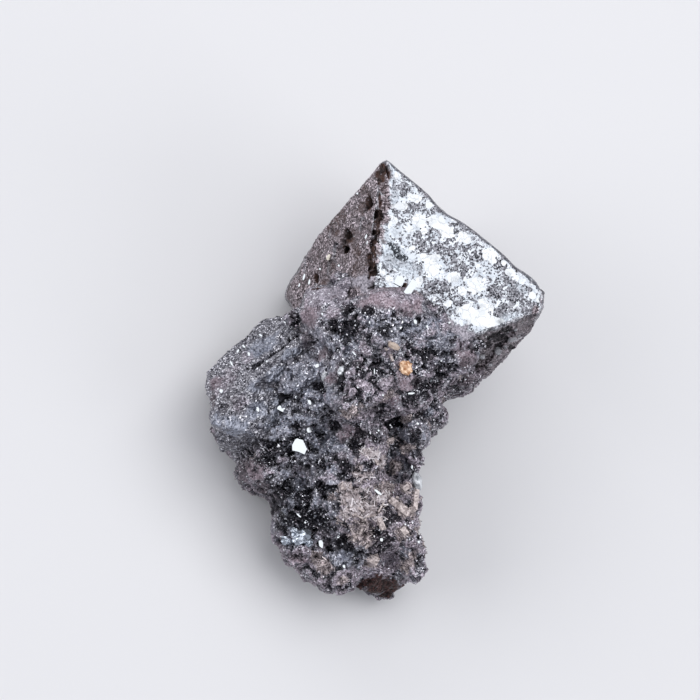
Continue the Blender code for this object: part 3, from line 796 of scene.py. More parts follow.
def granularHematite(name, sparkle=1.0, shade=0.0):
    finish = Finish(name)
    tones = coatTones
    names = ("mauve", "rosy", "lavender", "tan", "black", "sheen", "brown", "dim", "fibres")
    mauve, rosy, lavender, tan, black, sheen, brown, dim, fibres = [finish.field(key) for key in names]
    fine = finish.grains(0.13)
    fineOne = finish.channel(fine, "Red")
    fineTwo = finish.channel(fine, "Green")
    coarse = finish.channel(finish.grains(0.27, shift=5.3), "Red")
    colour = finish.blend(fineOne.power(1.95), *tones["steel"])
    colour = finish.covered(coarse * 0.45, colour, tones["coarse"])
    # blue-grey tone and painted sheen
    colour = finish.covered(sheen * 0.8, colour, tones["sheen"], fineTwo)
    colour = finish.covered((mauve * 1.3).ramp(0.1, 0.9) * 0.85, colour, tones["mauve"], fineOne.power(1.6))
    colour = finish.covered(rosy * 0.65, colour, tones["rosy"], fineTwo)
    thin = (lavender * 1.4 - coarse * 0.3).ramp(0.1, 0.7)
    colour = finish.covered(thin * 0.9, colour, tones["lavender"], fineOne.power(1.2))
    # painted shade on lower edges and down-facing flanks
    colour = finish.covered(dim * 0.85, colour, tones["dim"], fineTwo.power(1.5))
    # dark stone with painted shade in hollows and pits
    colour = finish.covered((black * 1.25 - fineTwo * 0.35).ramp(0.1, 0.8) * 0.92, colour, tones["black"])
    # painted glints: a few grains coloured near white, fewer on brown, tan and rosy
    paintedGlint = (finish.channel(fine, "Blue") - 0.965).ramp(0.0, 0.015)
    paintedGlint = paintedGlint * (1 - brown * 0.6) * (1 - tan) * (1 - rosy * 0.8)
    colour = finish.covered(paintedGlint * 0.85, colour, tones["paintedGlint"])
    sand = finish.blend(fineOne.power(1.55), *tones["tan"])
    sand = finish.covered(fibres * (0.4 + fineTwo * 0.6), sand, tones["fibre"])
    colour = finish.blend((tan * 1.5 - coarse * 0.5).ramp(0.1, 0.6), colour, sand)
    colour = finish.covered((brown * 1.2).ramp(0.0, 1.0), colour, tones["brown"], fineTwo.power(2.0))
    colour = finish.covered(shade, colour, tones["shade"])
    pink = mauve.larger(rosy)
    rough = 0.16 + fineTwo * 0.22 + pink * 0.2 + tan * 0.30 + brown * 0.2 + sheen * 0.12
    metal = (0.85 - pink * 0.5 - tan * 0.85 - brown * 0.85 - dim * 0.4).larger(0.0)
    turned = (1 - tan * 0.5) * (1 - sheen * 0.45) * (1 - rosy * 0.4) * sparkle
    return finish.done(colour=colour, rough=rough, metal=metal, normal=finish.tilted(fine, turned))


sideCrystal = {
    "voxel": 0.14,
    "sunk": 0.096,
    "mauve": 0.45,
    "creaseDepth": 0.55,
    "ledgeDepth": 0.35,
    "wornDepth": 0.12,
    "crease": [(292, 338, 9, 1.5, 22), (275, 351, 12, 1.3, 33), (255, 364, 10, 1.3, 28)],
    "ledge": [(271, 385, 14, 3.0, 8), (284, 396, 3.4, 8), (262, 383, 8, 3, 30)],
}


def makeSideCrystal():
    tree = cadTrees["side_crystal"]
    mesh = evenSkin(cadMeshes["side_crystal"], sideCrystal["voxel"])
    points, outward, _ = nearestOn(tree, pointsOf(mesh))
    points = shaped(points)
    field = coatFields(points, outward)
    field["mauve"] *= sideCrystal["mauve"]
    crease = spotField(points, sideCrystal["crease"], tree, 0.25)
    ledge = spotField(points, sideCrystal["ledge"], tree, 0.25)
    steps = blockRelief(points, 2.4, 0.22, 101) + blockRelief(points, 0.9, 0.30, 105)
    grit = blockRelief(points, 0.42, 0.5, 109)
    worn = smoothStep(0.2, 0.8, layeredNoise(points, 1.1, 2, 113))
    depth = sideCrystal["sunk"] - steps * 0.5 - grit * 0.45 + worn * sideCrystal["wornDepth"]
    depth += crease * sideCrystal["creaseDepth"] + ledge * sideCrystal["ledgeDepth"]
    setPoints(mesh, points - outward * np.clip(depth, -0.12, 0.9)[:, None])
    # painted shade in the crease and on the ledge, which also gets some brown
    raiseField(field, "black", np.maximum(crease, ledge * 0.45))
    raiseField(field, "brown", ledge * 0.35)
    addFields(mesh, field)
    addField(mesh, "druse", np.clip(0.7 - field["sheen"] * 0.5 - crease, 0.1, 1))
    return mesh


groundmass = {
    "voxel": 0.172,
    "weld": 0.42,           # how far it is pushed into a crystal that it touches
    "weldReach": 0.55,
    "broad": 0.22,
    "relief": ((1.5, 0.36, 121), (0.75, 0.42, 125), (0.40, 0.28, 129)),
    "pitSize": 0.8,
    "depth": {"pit": 0.34, "sponge": 0.4, "black": 0.25},
    # how much of the relief is taken away by each
    "even": {"smooth": 0.9, "mauve": 0.45, "flank": 0.45},
    # how strongly each part of the relief takes its coat; flank gives painted shade, hollow, sponge and pit
    # black with painted shade, crestSheen and litSheen painted sheen, and lit takes painted shade away
    "tone": {
        "flank": 0.45, "hollow": 0.70, "crest": 0.7, "crestSheen": 0.8, "crestBlack": 0.4, "cool": 0.75,
        "lit": 0.75, "litSheen": 0.55, "sponge": 0.8, "pit": 0.7,
    },
    "lowest": 0.02,
    # how ragged and soft the spots of each kind are, and their salt
    "spots": {
        "smooth": (0.25, 0.35, 65), "cool": (0.5, 0.5, 67), "lit": (0.5, 0.5, 68), "fibres": (0.5, 0.4, 63),
        "tuft": (0.4, 0.3, 64),
    },
    # loose fibres, and the tuft of blades below them
    "fibres": [
        (364, 500, 18, 9), (370, 453, 9, 3, -10), (381, 464, 3.5, 8, 15), (365, 479, 9, 3.5, 10),
        (357, 467, 3, 7), (352, 512, 10, 5, 20), (370, 516, 12, 3, -15), (346, 488, 8, 4),
    ],
    "tuft": [(361, 531, 13, 14, 25), (352, 500, 10, 10), (405, 535, 7, 6), (330, 498, 5, 4)],
    # painted light: where the hollows keep little painted shade and take painted sheen
    "lit": [
        (284, 373, 15, 11, 30), (290, 387, 13, 7, 10), (312, 437, 10, 8), (397, 464, 11, 13),
        (300, 482, 7, 6), (243, 440, 11, 7, -30), (463, 343, 9, 6), (430, 343, 8, 6), (405, 553, 6, 6),
        (442, 345, 11, 9), (350, 350, 10, 8), (300, 380, 14, 11), (330, 440, 10, 8), (281, 420, 10, 9),
        (365, 319, 7, 5), (400, 332, 8, 5), (430, 411, 8, 6), (340, 558, 12, 8),
    ],
    # smooth coated lumps
    "smooth": [
        (326, 292, 32, 9, 6), (392, 299, 30, 13), (368, 304, 14, 11, 20), (424, 308, 14, 8, -20),
        (466, 330, 16, 11, -15), (308, 312, 12, 18), (330, 308, 12, 10), (382, 586, 19, 11),
        (385, 593, 15, 9), (375, 590, 12, 8),
    ],
    # where the lumps are blue-grey rather than mauve
    "cool": [
        (285, 400, 60, 70), (320, 350, 40, 36), (400, 330, 40, 16), (300, 500, 40, 40), (320, 450, 30, 30),
        (455, 350, 30, 20), (345, 558, 30, 10), (410, 435, 20, 12),
    ],
}


def groundSpots(points, *kinds):
    return [spotField(points, groundmass[kind], wholeTree, *groundmass["spots"][kind]) for kind in kinds]


def lumpRelief(points, field, flank, smooth, cool, lit):
    # lumps, with a mauve coat and painted sheen on their crests, and black with painted shade in the hollows
    # between them
    tone = groundmass["tone"]
    even = groundmass["even"]
    levelled = np.maximum(smooth * even["smooth"], field["mauve"] * even["mauve"])
    levelled = np.maximum(levelled, flank * even["flank"])
    blocks = [blockRelief(points, *layer) for layer in groundmass["relief"]]
    height = groundmass["broad"] * layeredNoise(points, 2.6, 2, 117) + sum(blocks) * (1 - levelled)
    raised = blocks[0] + blocks[1]
    hollow = smoothStep(0.04, 0.17, -raised) * (1 - smooth) * (1 - field["tan"] * 0.7)
    crest = smoothStep(0.0, 0.18, raised) * (1 - smooth) * (1 - field["rosy"])
    field["mauve"] = np.maximum(field["mauve"], crest * tone["crest"]) * (1 - hollow)
    field["mauve"] *= 1 - tone["cool"] * cool * (1 - smooth)
    # painted sheen on the crests of blue-grey lumps
    field["sheen"] = np.maximum(field["sheen"], crest * cool * tone["crestSheen"]) * (1 - hollow)
    field["black"] *= 1 - crest * tone["crestBlack"]
    # black with painted shade in the hollows
    raiseField(field, "black", hollow * tone["hollow"])
    # painted light: the listed lit patches lose that shade and take painted sheen
    field["black"] *= 1 - tone["lit"] * lit
    raiseField(field, "sheen", lit * tone["litSheen"])
    field["tan"] *= 1 - 0.7 * hollow
    return height


def makeGroundmass():
    tone = groundmass["tone"]
    deep = groundmass["depth"]
    mesh = evenSkin(cadMeshes["matrix"], groundmass["voxel"])
    points = pointsOf(mesh)
    normals = normalsOf(mesh)
    _, _, gaps = nearestOn(crystalsTree, points)
    points = shaped(points)
    field = coatFields(points, normals)
    smooth, cool, lit = groundSpots(points, "smooth", "cool", "lit")
    flank = smoothStep(0.5, 0.0, normals[:, 2])
    # painted shade on the down-facing flanks
    raiseField(field, "dim", flank * tone["flank"])
    welded = 1 - smoothStep(groundmass["weldReach"] * 0.7, groundmass["weldReach"], gaps)
    smooth *= 1 - 0.4 * field["brown"]
    height = lumpRelief(points, field, flank, smooth, cool, lit)

    # the tan parts are open like a sponge, and pits go down everywhere else; black with painted shade fills
    # the sponge's gaps and the pits
    coreBlack = smoothStep(0.5, 0.9, spotField(points, coats["black"], wholeTree, 0.45, 0.3, 60))
    pits = smoothStep(0.35, 0.8, layeredNoise(points, groundmass["pitSize"], 2, 141)) * (1 - smooth)
    opened = smoothStep(0.0, 0.35, layeredNoise(points, 0.45, 2, 145))
    sponge = opened * field["tan"]
    field["tan"] = field["tan"] * (1 - 0.8 * coreBlack) - sponge * 0.7
    raiseField(field, "black", sponge * tone["sponge"])
    height -= pits * deep["pit"] * (0.5 + 0.5 * field["black"]) + sponge * deep["sponge"]
    height -= field["black"] * deep["black"]
    height = height * (1 - welded) + groundmass["weld"] * welded
    points = points + normals * height[:, None]
    points[:, 2] = np.maximum(points[:, 2], groundmass["lowest"])
    setPoints(mesh, points)
    # black with painted shade in the pits
    raiseField(field, "black", pits * tone["pit"] * (1 - field["tan"]))
    addFields(mesh, field)

    # where small crystals may grow: not in the welds, near the floor or on the smooth lumps
    fibres, tuft = groundSpots(points, "fibres", "tuft")
    tuft *= (1 - 0.7 * coreBlack) * (1 - 0.7 * opened)
    clear = np.clip(1 - welded, 0, 1) * smoothStep(0.25, 0.5, points[:, 2])
    bare = clear * (1 - flank * 0.8) * (1 - 0.6 * field["brown"]) * (1 - 0.85 * field["dim"])
    coated = field["mauve"] * 0.8 + field["tan"] + smooth + field["black"] * 0.4
    addFields(mesh, {
        "druse": bare * np.clip(1 - coated, 0.03, 1),
        "rust": bare * np.clip(field["mauve"] * (1 - 0.9 * smooth) + 0.12, 0, 1),
        "blades": clear * np.maximum(field["tan"], tuft),
        "fibres": clear * fibres * (1 - 0.9 * opened),
    })
    return mesh


sideMesh = makeSideCrystal()
sideHost = sideMesh.copy()
sideFinish = granularHematite("satinHematite", sparkle=0.75, shade=0.18)
finishPiece("sideCrystalSkin", sideMesh, sideFinish, "side_crystal")
groundMesh = makeGroundmass()
groundHost = groundMesh.copy()
finishPiece("groundmassSkin", groundMesh, granularHematite("granularHematite"), "matrix")


def smallShape(name, corners, faces):
    mesh = bpy.data.meshes.new(name)
    mesh.from_pydata(corners, [], faces)
    shape = bpy.data.objects.new(name, mesh)
    bpy.context.scene.collection.objects.link(shape)
    return shape


def octahedronShape(squash):
    corners = [(1, 0, 0), (0, 0.9, 0), (-1, 0, 0), (0, -0.9, 0), (0, 0, squash), (0, 0, -squash)]
    faces = [(0, 1, 4), (1, 2, 4), (2, 3, 4), (3, 0, 4), (1, 0, 5), (2, 1, 5), (3, 2, 5), (0, 3, 5)]
    return smallShape("octahedronShape", corners, faces)


def barShape(width, thickness):
    # a four-sided lath with slanting ends, along X
    side = width / 2
    top = thickness / 2
    corners = [(-1, -side, -top), (0.85, -side, -top), (1, side, -top), (-0.8, side, -top)]
    corners += [(-0.95, -side, top), (0.9, -side, top), (0.95, side, top), (-0.85, side, top)]
    faces = [(0, 3, 2, 1), (4, 5, 6, 7), (0, 1, 5, 4), (1, 2, 6, 5), (2, 3, 7, 6), (3, 0, 4, 7)]
    return smallShape("barShape", corners, faces)


def plateShape(thickness, turns, reaches, narrowed=0.94):
    # a plate with an uneven outline: the corners' directions and how far out they lie
    directions = [math.radians(turn) for turn in turns]
    ring = [(math.cos(way) * reach, math.sin(way) * reach) for way, reach in zip(directions, reaches)]
    number = len(ring)
    corners = [(x, y, -thickness / 2) for x, y in ring]
    corners += [(x * narrowed, y * narrowed, thickness / 2) for x, y in ring]
    faces = [tuple(range(number - 1, -1, -1)), tuple(range(number, number * 2))]
    faces += [(i, (i + 1) % number, (i + 1) % number + number, i + number) for i in range(number)]
    return smallShape("plateShape", corners, faces)


class Graph:
    # a Geometry Nodes tree, built as the materials are
    def __init__(self, name):
        self.tree = bpy.data.node_groups.new(name, "GeometryNodeTree")
        self.tree.interface.new_socket("Geometry", in_out="OUTPUT", socket_type="NodeSocketGeometry")
        self.ends = None

    def inputs(self, **kinds):
        self.tree.interface.new_socket("Geometry", in_out="INPUT", socket_type="NodeSocketGeometry")
        for name, kind in kinds.items():
            self.tree.interface.new_socket(name, in_out="INPUT", socket_type="NodeSocket" + kind)
        self.ends = self.tree.nodes.new("NodeGroupInput")
        return [self.ends.outputs[name] for name in ("Geometry", *kinds)]

    def add(self, kind, settings, inputs, output=0):
        node = self.tree.nodes.new(kind)
        for key, value in settings.items():
            setattr(node, key, value)
        for key, value in inputs.items():
            if isinstance(value, bpy.types.NodeSocket):
                self.tree.links.new(value, node.inputs[key])
            else:
                node.inputs[key].default_value = value
        return node.outputs[output]

    def maths(self, operation, first, second):
        return self.add("ShaderNodeMath", {"operation": operation}, {0: first, 1: second})

    def chance(self, high, seed):
        # a random number for each copy, from 0 to high
        return self.add("FunctionNodeRandomValue", {"data_type": "FLOAT"}, {2: 0.0, 3: high, 8: seed}, 1)

    def scaled(self, vector, factor):
        return self.add("ShaderNodeVectorMath", {"operation": "SCALE"}, {0: vector, 3: factor})

    def close(self, geometry):
        end = self.tree.nodes.new("NodeGroupOutput")
        self.tree.links.new(geometry, end.inputs[0])


scatterLook = {"fewLarge": 2.2, "leanSeed": 5, "spinSeed": 9, "toneSeed": 13}


def scatterGraph():
    graph = Graph("scatterCrystals")
    geometry, shape, where, density, smallest, largest, sunk, spread, seed, material = graph.inputs(
        Shape="Object", Where="String", Density="Float", Smallest="Float", Largest="Float",
        Sunk="Float", Spread="Float", Seed="Int", Material="Material")
    # points where the field lets them grow, set in or out of the surface by their size
    share = graph.add("GeometryNodeInputNamedAttribute", {"data_type": "FLOAT"}, {"Name": where})
    scatter = graph.tree.nodes.new("GeometryNodeDistributePointsOnFaces")
    spots = {"Mesh": geometry, "Density": graph.maths("MULTIPLY", share, density), "Seed": seed}
    for key, socket in spots.items():
        graph.tree.links.new(socket, scatter.inputs[key])
    grown, outward = scatter.outputs["Points"], scatter.outputs["Normal"]
    luck = graph.maths("POWER", graph.chance(1.0, seed), scatterLook["fewLarge"])
    size = graph.add("ShaderNodeMapRange", {}, {0: luck, 3: smallest, 4: largest})
    push = graph.scaled(outward, graph.maths("MULTIPLY", size, sunk))
    placed = graph.add("GeometryNodeSetPosition", {}, {"Geometry": grown, "Offset": push})
    # each copy leans away from the surface's direction and turns about its own
    ends = {0: (-1.0,) * 3, 1: (1.0,) * 3, 8: scatterLook["leanSeed"]}
    aside = graph.add("FunctionNodeRandomValue", {"data_type": "FLOAT_VECTOR"}, ends)
    lean = {0: outward, 1: graph.scaled(aside, spread)}
    way = graph.add("ShaderNodeVectorMath", {"operation": "ADD"}, lean)
    stand = graph.add("FunctionNodeAlignRotationToVector", {"axis": "Z"}, {"Vector": way})
    spin = graph.add("ShaderNodeCombineXYZ", {}, {"Z": graph.chance(2 * math.pi, scatterLook["spinSeed"])})
    turned = graph.add("FunctionNodeRotateRotation", {"rotation_space": "LOCAL"}, {0: stand, 1: spin})
    model = graph.add("GeometryNodeObjectInfo", {}, {"Object": shape}, "Geometry")
    parts = {"Points": placed, "Instance": model, "Rotation": turned, "Scale": size}
    copies = graph.add("GeometryNodeInstanceOnPoints", {}, parts)
    tone = {"Geometry": copies, "Name": "tone", "Value": graph.chance(1.0, scatterLook["toneSeed"])}
    toned = graph.add("GeometryNodeStoreNamedAttribute", {"data_type": "FLOAT", "domain": "INSTANCE"}, tone)
    real = graph.add("GeometryNodeRealizeInstances", {}, {"Geometry": toned})
    dressed = graph.add("GeometryNodeSetMaterial", {}, {"Geometry": real, "Material": material})
    graph.close(dressed)
    return graph.tree


scatterTree = scatterGraph()


def layOut(mesh, facesEach, cellShare=0.42):
    # gives each copy a cell of its own on the piece's map
    corners = len(mesh.loops)
    starts = np.empty(len(mesh.polygons), np.int64)
    mesh.polygons.foreach_get("loop_start", starts)
    counts = np.diff(np.append(starts, corners))
    face = np.repeat(np.arange(len(starts)), counts)
    copy = face // facesEach
    side = math.ceil(math.sqrt(copy.max() + 1))
    angle = (np.arange(corners) - starts[face]) / counts[face] * 2 * math.pi
    step = 1 / side
    across = (copy % side + 0.5 + cellShare * np.cos(angle)) * step
    up = (copy // side + 0.5 + cellShare * np.sin(angle)) * step
    layer = mesh.uv_layers.new(name="OFBake")
    layer.uv.foreach_set("vector", np.stack([across, up], 1).astype(np.float32).ravel())


def scatterOn(name, growth):
    holder = bpy.data.objects.new(name + "Host", growth["host"].copy())
    bpy.context.scene.collection.objects.link(holder)
    modifier = holder.modifiers.new("scatter", "NODES")
    modifier.node_group = scatterTree
    for item in scatterTree.interface.items_tree:
        if item.item_type == "SOCKET" and item.in_out == "INPUT" and item.name in growth:
            modifier[item.identifier] = growth[item.name]
    bpy.context.view_layer.update()
    graph = bpy.context.evaluated_depsgraph_get()
    mesh = bpy.data.meshes.new_from_object(holder.evaluated_get(graph))
    layOut(mesh, len(growth["Shape"].data.polygons))
    bpy.data.objects.remove(holder)
    bpy.data.objects.remove(growth["Shape"])
    return finishPiece(name, mesh, growth["Material"])


def crystalFinish(name, dull, bright, smoothest, roughest, metal):
    # one tone for each small crystal
    finish = Finish(name)
    tone = finish.field("tone")
    colour = finish.blend(tone.power(1.8), dull, bright)
    return finish.done(colour=colour, rough=smoothest + tone * (roughest - smoothest), metal=metal)


steelFinish = crystalFinish("druseHematite", (0.035, 0.036, 0.045), (0.90, 0.90, 0.98), 0.12, 0.32, 0.9)
rustFinish = crystalFinish("mauveHematite", (0.12, 0.10, 0.118), (0.74, 0.65, 0.73), 0.28, 0.50, 0.5)
sandFinish = crystalFinish("tanBladed", (0.10, 0.078, 0.080), (1.0, 0.88, 0.87), 0.45, 0.65, 0.0)
fibreFinish = crystalFinish("paleFibres", (0.50, 0.44, 0.45), (1.0, 0.95, 0.97), 0.45, 0.65, 0.0)
plateFinish = crystalFinish("plateHematite", (0.38, 0.40, 0.42), (0.52, 0.54, 0.56), 0.08, 0.16, 1.0)

# corners of each plate: their directions in degrees, and how far out they lie
smallPlate = ((5, 70, 128, 195, 290), (1.0, 0.8, 1.1, 0.85, 1.0))
brightFlake = ((-60, -19, 64, 108, 125, 175, 214, 255), (1.2, 0.96, 0.9, 1.03, 0.99, 0.94, 1.1, 0.75))
largePlate = (
    (0, 38, 75, 120, 158, 205, 250, 282, 325), (1.0, 1.08, 0.92, 1.1, 0.95, 1.05, 0.85, 1.04, 0.88),
)

# density per square mm of a full field, sizes in mm, sunk in sizes (outwards where it is above 0)
scattered = {
    "blackDruse": {
        "host": groundHost, "Shape": octahedronShape(0.8), "Material": steelFinish, "slot": "matrix",
        "Where": "druse", "Density": 14.0, "Smallest": 0.05, "Largest": 0.15,
        "Sunk": -0.45, "Spread": 1.2, "Seed": 3,
    },
    "mauveGrains": {
        "host": groundHost, "Shape": octahedronShape(0.7), "Material": rustFinish, "slot": "matrix",
        "Where": "rust", "Density": 24.0, "Smallest": 0.05, "Largest": 0.13,
        "Sunk": -0.35, "Spread": 1.4, "Seed": 7,
    },
    "tanBlades": {
        "host": groundHost, "Shape": barShape(0.20, 0.12), "Material": sandFinish, "slot": "matrix",
        "Where": "blades", "Density": 85.0, "Smallest": 0.07, "Largest": 0.32,
        "Sunk": 0.1, "Spread": 1.7, "Seed": 11,
    },
    "paleFibres": {
        "host": groundHost, "Shape": barShape(0.28, 0.16), "Material": fibreFinish, "slot": "matrix",
        "Where": "fibres", "Density": 55.0, "Smallest": 0.12, "Largest": 0.50,
        "Sunk": 0.25, "Spread": 0.9, "Seed": 37,
    },
    "sideDruse": {
        "host": sideHost, "Shape": octahedronShape(0.6), "Material": steelFinish, "slot": "side_crystal",
        "Where": "druse", "Density": 14.0, "Smallest": 0.05, "Largest": 0.13,
        "Sunk": -0.4, "Spread": 0.9, "Seed": 17,
    },
    "faceGrains": {
        "host": mainHost, "Shape": octahedronShape(0.6), "Material": rustFinish, "slot": "main_crystal",
        "Where": "druse", "Density": 14.0, "Smallest": 0.04, "Largest": 0.10,
        "Sunk": -0.45, "Spread": 0.8, "Seed": 19,
    },
    "faceSparks": {
        "host": mainHost, "Shape": plateShape(0.2, *smallPlate),
        "Material": plateFinish, "slot": "main_crystal",
        "Where": "druse", "Density": 1.1, "Smallest": 0.04, "Largest": 0.09,
        "Sunk": 0.0, "Spread": 0.7, "Seed": 29,
    },
    "brightPlates": {
        "host": groundHost, "Shape": plateShape(0.16, *smallPlate),
        "Material": plateFinish, "slot": "matrix",
        "Where": "druse", "Density": 0.9, "Smallest": 0.05, "Largest": 0.17,
        "Sunk": 0.0, "Spread": 1.0, "Seed": 23,
    },
}
for name, growth in scattered.items():
    scatterOn(name, growth)


# Single flakes, laths and grains that stand out are set on the finished skins.
skinTree = treeOf(groundHost, sideHost, mainHost)
# a piece is raised where the skin close round its middle stands higher, by at most so many mm
settled = {"reach": 0.6, "share": 0.8, "most": 0.35}


def placedSolid(bm, shape, x, y, size, turn, lift, tilt=(0, 0)):
    # a shape's corners in mm, set on the skin where it lies in the view, facing near to upwards
    place = castFrom(skinTree, x, y)
    if place is None:
        return
    reach = min(size[0], size[1]) * settled["reach"] / pixel
    sides = ((1, 0), (-1, 0), (0, 1), (0, -1))
    around = [castFrom(skinTree, x + across * reach, y + down * reach) for across, down in sides]
    rise = max([point.z - place.z for point in around if point] + [0.0])
    lift += min(rise * settled["share"], settled["most"])
    lean = Matrix.Rotation(math.radians(tilt[0]), 3, viewRight)
    lean = lean @ Matrix.Rotation(math.radians(tilt[1]), 3, viewUp)
    along = viewRight - viewRight.z * Vector((0, 0, 1))
    along = Matrix.Rotation(math.radians(turn), 3, "Z") @ along.normalized()
    up = Vector((0, 0, 1))
    frameTurn = lean @ Matrix((along, up.cross(along), up)).transposed()
    verts = []
    for corner in shape.data.vertices:
        scaled = Vector((corner.co.x * size[0], corner.co.y * size[1], corner.co.z * size[2]))
        verts.append(bm.verts.new(frameTurn @ scaled + place + up * lift))
    for face in shape.data.polygons:
        bm.faces.new([verts[i] for i in face.vertices])


def placedPiece(name, shape, items, material):
    bm = bmesh.new()
    for item in items:
        placedSolid(bm, shape, *item)
    mesh = bpy.data.meshes.new(name)
    bm.to_mesh(mesh)
    bm.free()
    bpy.data.objects.remove(shape)
    return finishPiece(name, mesh, material)


# x, y in the view, then half sizes in mm, turn, lift and, for some, the lean about the view's axes
flakes = [
    (307.8, 431.5, (0.34, 0.28, 0.5), 35, 0.5), (280.4, 410.0, (0.50, 0.28, 0.5), -10, 0.42),
    (377.0, 493.0, (0.46, 0.13, 0.4), -35, 0.25), (257.2, 409.8, (0.16, 0.26, 0.4), 20, 0.12, (3, 0)),
    (316.2, 366.5, (0.24, 0.18, 0.4), 40, 0.15, (0, 3)), (308.6, 403.2, (0.15, 0.32, 0.4), 25, 0.15),
    (296.2, 398.0, (0.22, 0.18, 0.4), 0, 0.12, (6, 0)), (230.8, 364.2, (0.10, 0.28, 0.4), 30, 0.12, (0, 4)),
    (237.3, 351.5, (0.10, 0.20, 0.4), -25, 0.1, (0, 2)), (220.3, 391.8, (0.18, 0.20, 0.4), 10, 0.12),
    (248.2, 354.8, (0.13, 0.22, 0.4), 20, 0.12, (5, 0)), (243.2, 346.8, (0.20, 0.10, 0.4), -40, 0.1),
    (291.0, 340.8, (0.28, 0.10, 0.4), -38, 0.1), (259.7, 336.0, (0.20, 0.10, 0.4), -30, 0.1, (4, 0)),
    (320.0, 544.0, (0.22, 0.50, 0.5), 12, 0.2), (337.5, 537.0, (0.12, 0.22, 0.4), -30, 0.15),
    (340.5, 540.0, (0.14, 0.14, 0.4), 0, 0.15), (410.5, 394.0, (0.36, 0.10, 0.4), 8, 0.15),
    (322.0, 315.0, (0.10, 0.20, 0.4), 30, 0.1), (378.0, 431.0, (0.10, 0.10, 0.4), 0, 0.1),
    (414.5, 322.5, (0.16, 0.24, 0.4), 20, 0.15), (368.8, 323.0, (0.08, 0.14, 0.4), 0, 0.12),
    (426.5, 327.0, (0.10, 0.16, 0.4), 0, 0.12, (0, 3)), (297.8, 516.0, (0.30, 0.08, 0.4), -40, 0.15),
    (316.5, 464.5, (0.10, 0.08, 0.4), 0, 0.1), (304.5, 523.0, (0.10, 0.10, 0.4), 0, 0.12),
    (330.5, 525.0, (0.08, 0.10, 0.4), 0, 0.1), (380.0, 540.8, (0.16, 0.18, 0.4), 10, 0.15, (6, 0)),
    (343.0, 567.0, (0.14, 0.16, 0.4), 10, 0.15, (3, 0)), (353.5, 354.0, (0.28, 0.08, 0.4), -45, 0.12),
    (418.0, 542.5, (0.12, 0.14, 0.4), 0, 0.12), (411.5, 467.5, (0.08, 0.22, 0.4), 0, 0.12),
    (303.4, 277.5, (0.10, 0.36, 0.4), -15, 0.05), (308.8, 282.5, (0.10, 0.30, 0.4), -12, 0.05),
    (298.8, 285.5, (0.08, 0.20, 0.4), -15, 0.05), (357.0, 194.0, (0.12, 0.10, 0.4), 0, 0.03),
    (365.6, 237.0, (0.10, 0.24, 0.4), -20, 0.03), (366.8, 243.0, (0.07, 0.20, 0.4), -10, 0.03),
    (338.4, 266.0, (0.11, 0.11, 0.4), 0, 0.03), (319.5, 269.5, (0.11, 0.11, 0.4), 0, 0.03),
    (285.3, 391.5, (0.05, 0.34, 0.4), 15, 0.15), (266.0, 362.0, (0.10, 0.10, 0.4), 0, 0.1),
    (284.5, 322.5, (0.16, 0.12, 0.4), 0, 0.1), (440.5, 361.0, (0.12, 0.12, 0.4), 0, 0.1),
    (449.0, 323.0, (0.14, 0.10, 0.4), 30, 0.1), (373.8, 372.0, (0.06, 0.30, 0.4), 0, 0.12),
]
laths = [
    (394.0, 503.0, (0.62, 0.30, 1.2), -35, 0.12, (8, 0)),
    (403.0, 510.0, (0.68, 0.34, 1.2), -38, 0.12, (4, 0)),
    (380.5, 524.5, (0.62, 0.22, 1.2), -67, 0.22, (0, 8)),
    (372.3, 561.0, (0.48, 0.36, 1.2), -25, 0.15, (4, -5)), (409.5, 511.0, (0.40, 0.28, 1.2), 25, 0.10),
    (415.5, 500.0, (1.00, 0.19, 1.1), 86, 0.05, (0, -8)), (405.0, 488.5, (0.36, 0.24, 1.0), 35, 0.12),
    (339.2, 520.8, (0.32, 0.17, 0.9), -12, 0.12), (405.8, 569.5, (0.42, 0.17, 1.0), -60, 0.12),
    (403.5, 531.5, (0.40, 0.26, 1.0), -50, 0.12), (345.5, 487.5, (0.55, 0.24, 0.9), 6, 0.10),
    (368.0, 545.0, (0.50, 0.12, 0.9), 50, 0.12), (359.5, 509.5, (0.45, 0.10, 0.8), -35, 0.12),
    (365.0, 520.0, (0.46, 0.10, 0.8), 20, 0.12), (376.0, 462.0, (0.36, 0.13, 0.8), -60, 0.12),
    (391.0, 358.0, (0.36, 0.11, 0.7), -70, 0.12), (390.8, 440.0, (0.30, 0.14, 0.8), 20, 0.05),
    (361.0, 531.0, (0.46, 0.10, 0.8), 62, 0.12), (385.5, 349.5, (0.18, 0.08, 0.7), -40, 0.10),
    (389.0, 342.0, (0.16, 0.07, 0.7), 10, 0.10), (355.0, 538.0, (0.46, 0.11, 0.8), 58, 0.12),
    (380.5, 507.5, (0.62, 0.07, 0.8), 60, 0.15), (357.0, 516.5, (0.60, 0.07, 0.8), -22, 0.15),
    (370.0, 516.5, (0.55, 0.07, 0.8), 15, 0.15),
]
largeFlake = [(298.5, 447.0, (0.80, 0.76, 0.8), 0, 0.25)]
brightBars = [
    (409.3, 289, (0.86, 0.72, 0.5), 57, 0.05), (399, 281.5, (0.44, 0.90, 0.5), 68, 0.05),
]
# below: only laths that lie lower than this in the view have broken ones
brokenLaths = {
    "seed": 41, "below": 430, "number": 3, "away": 5.0,
    "smallest": 0.22, "largest": 0.45, "lean": 28, "sunk": 0.4,
}


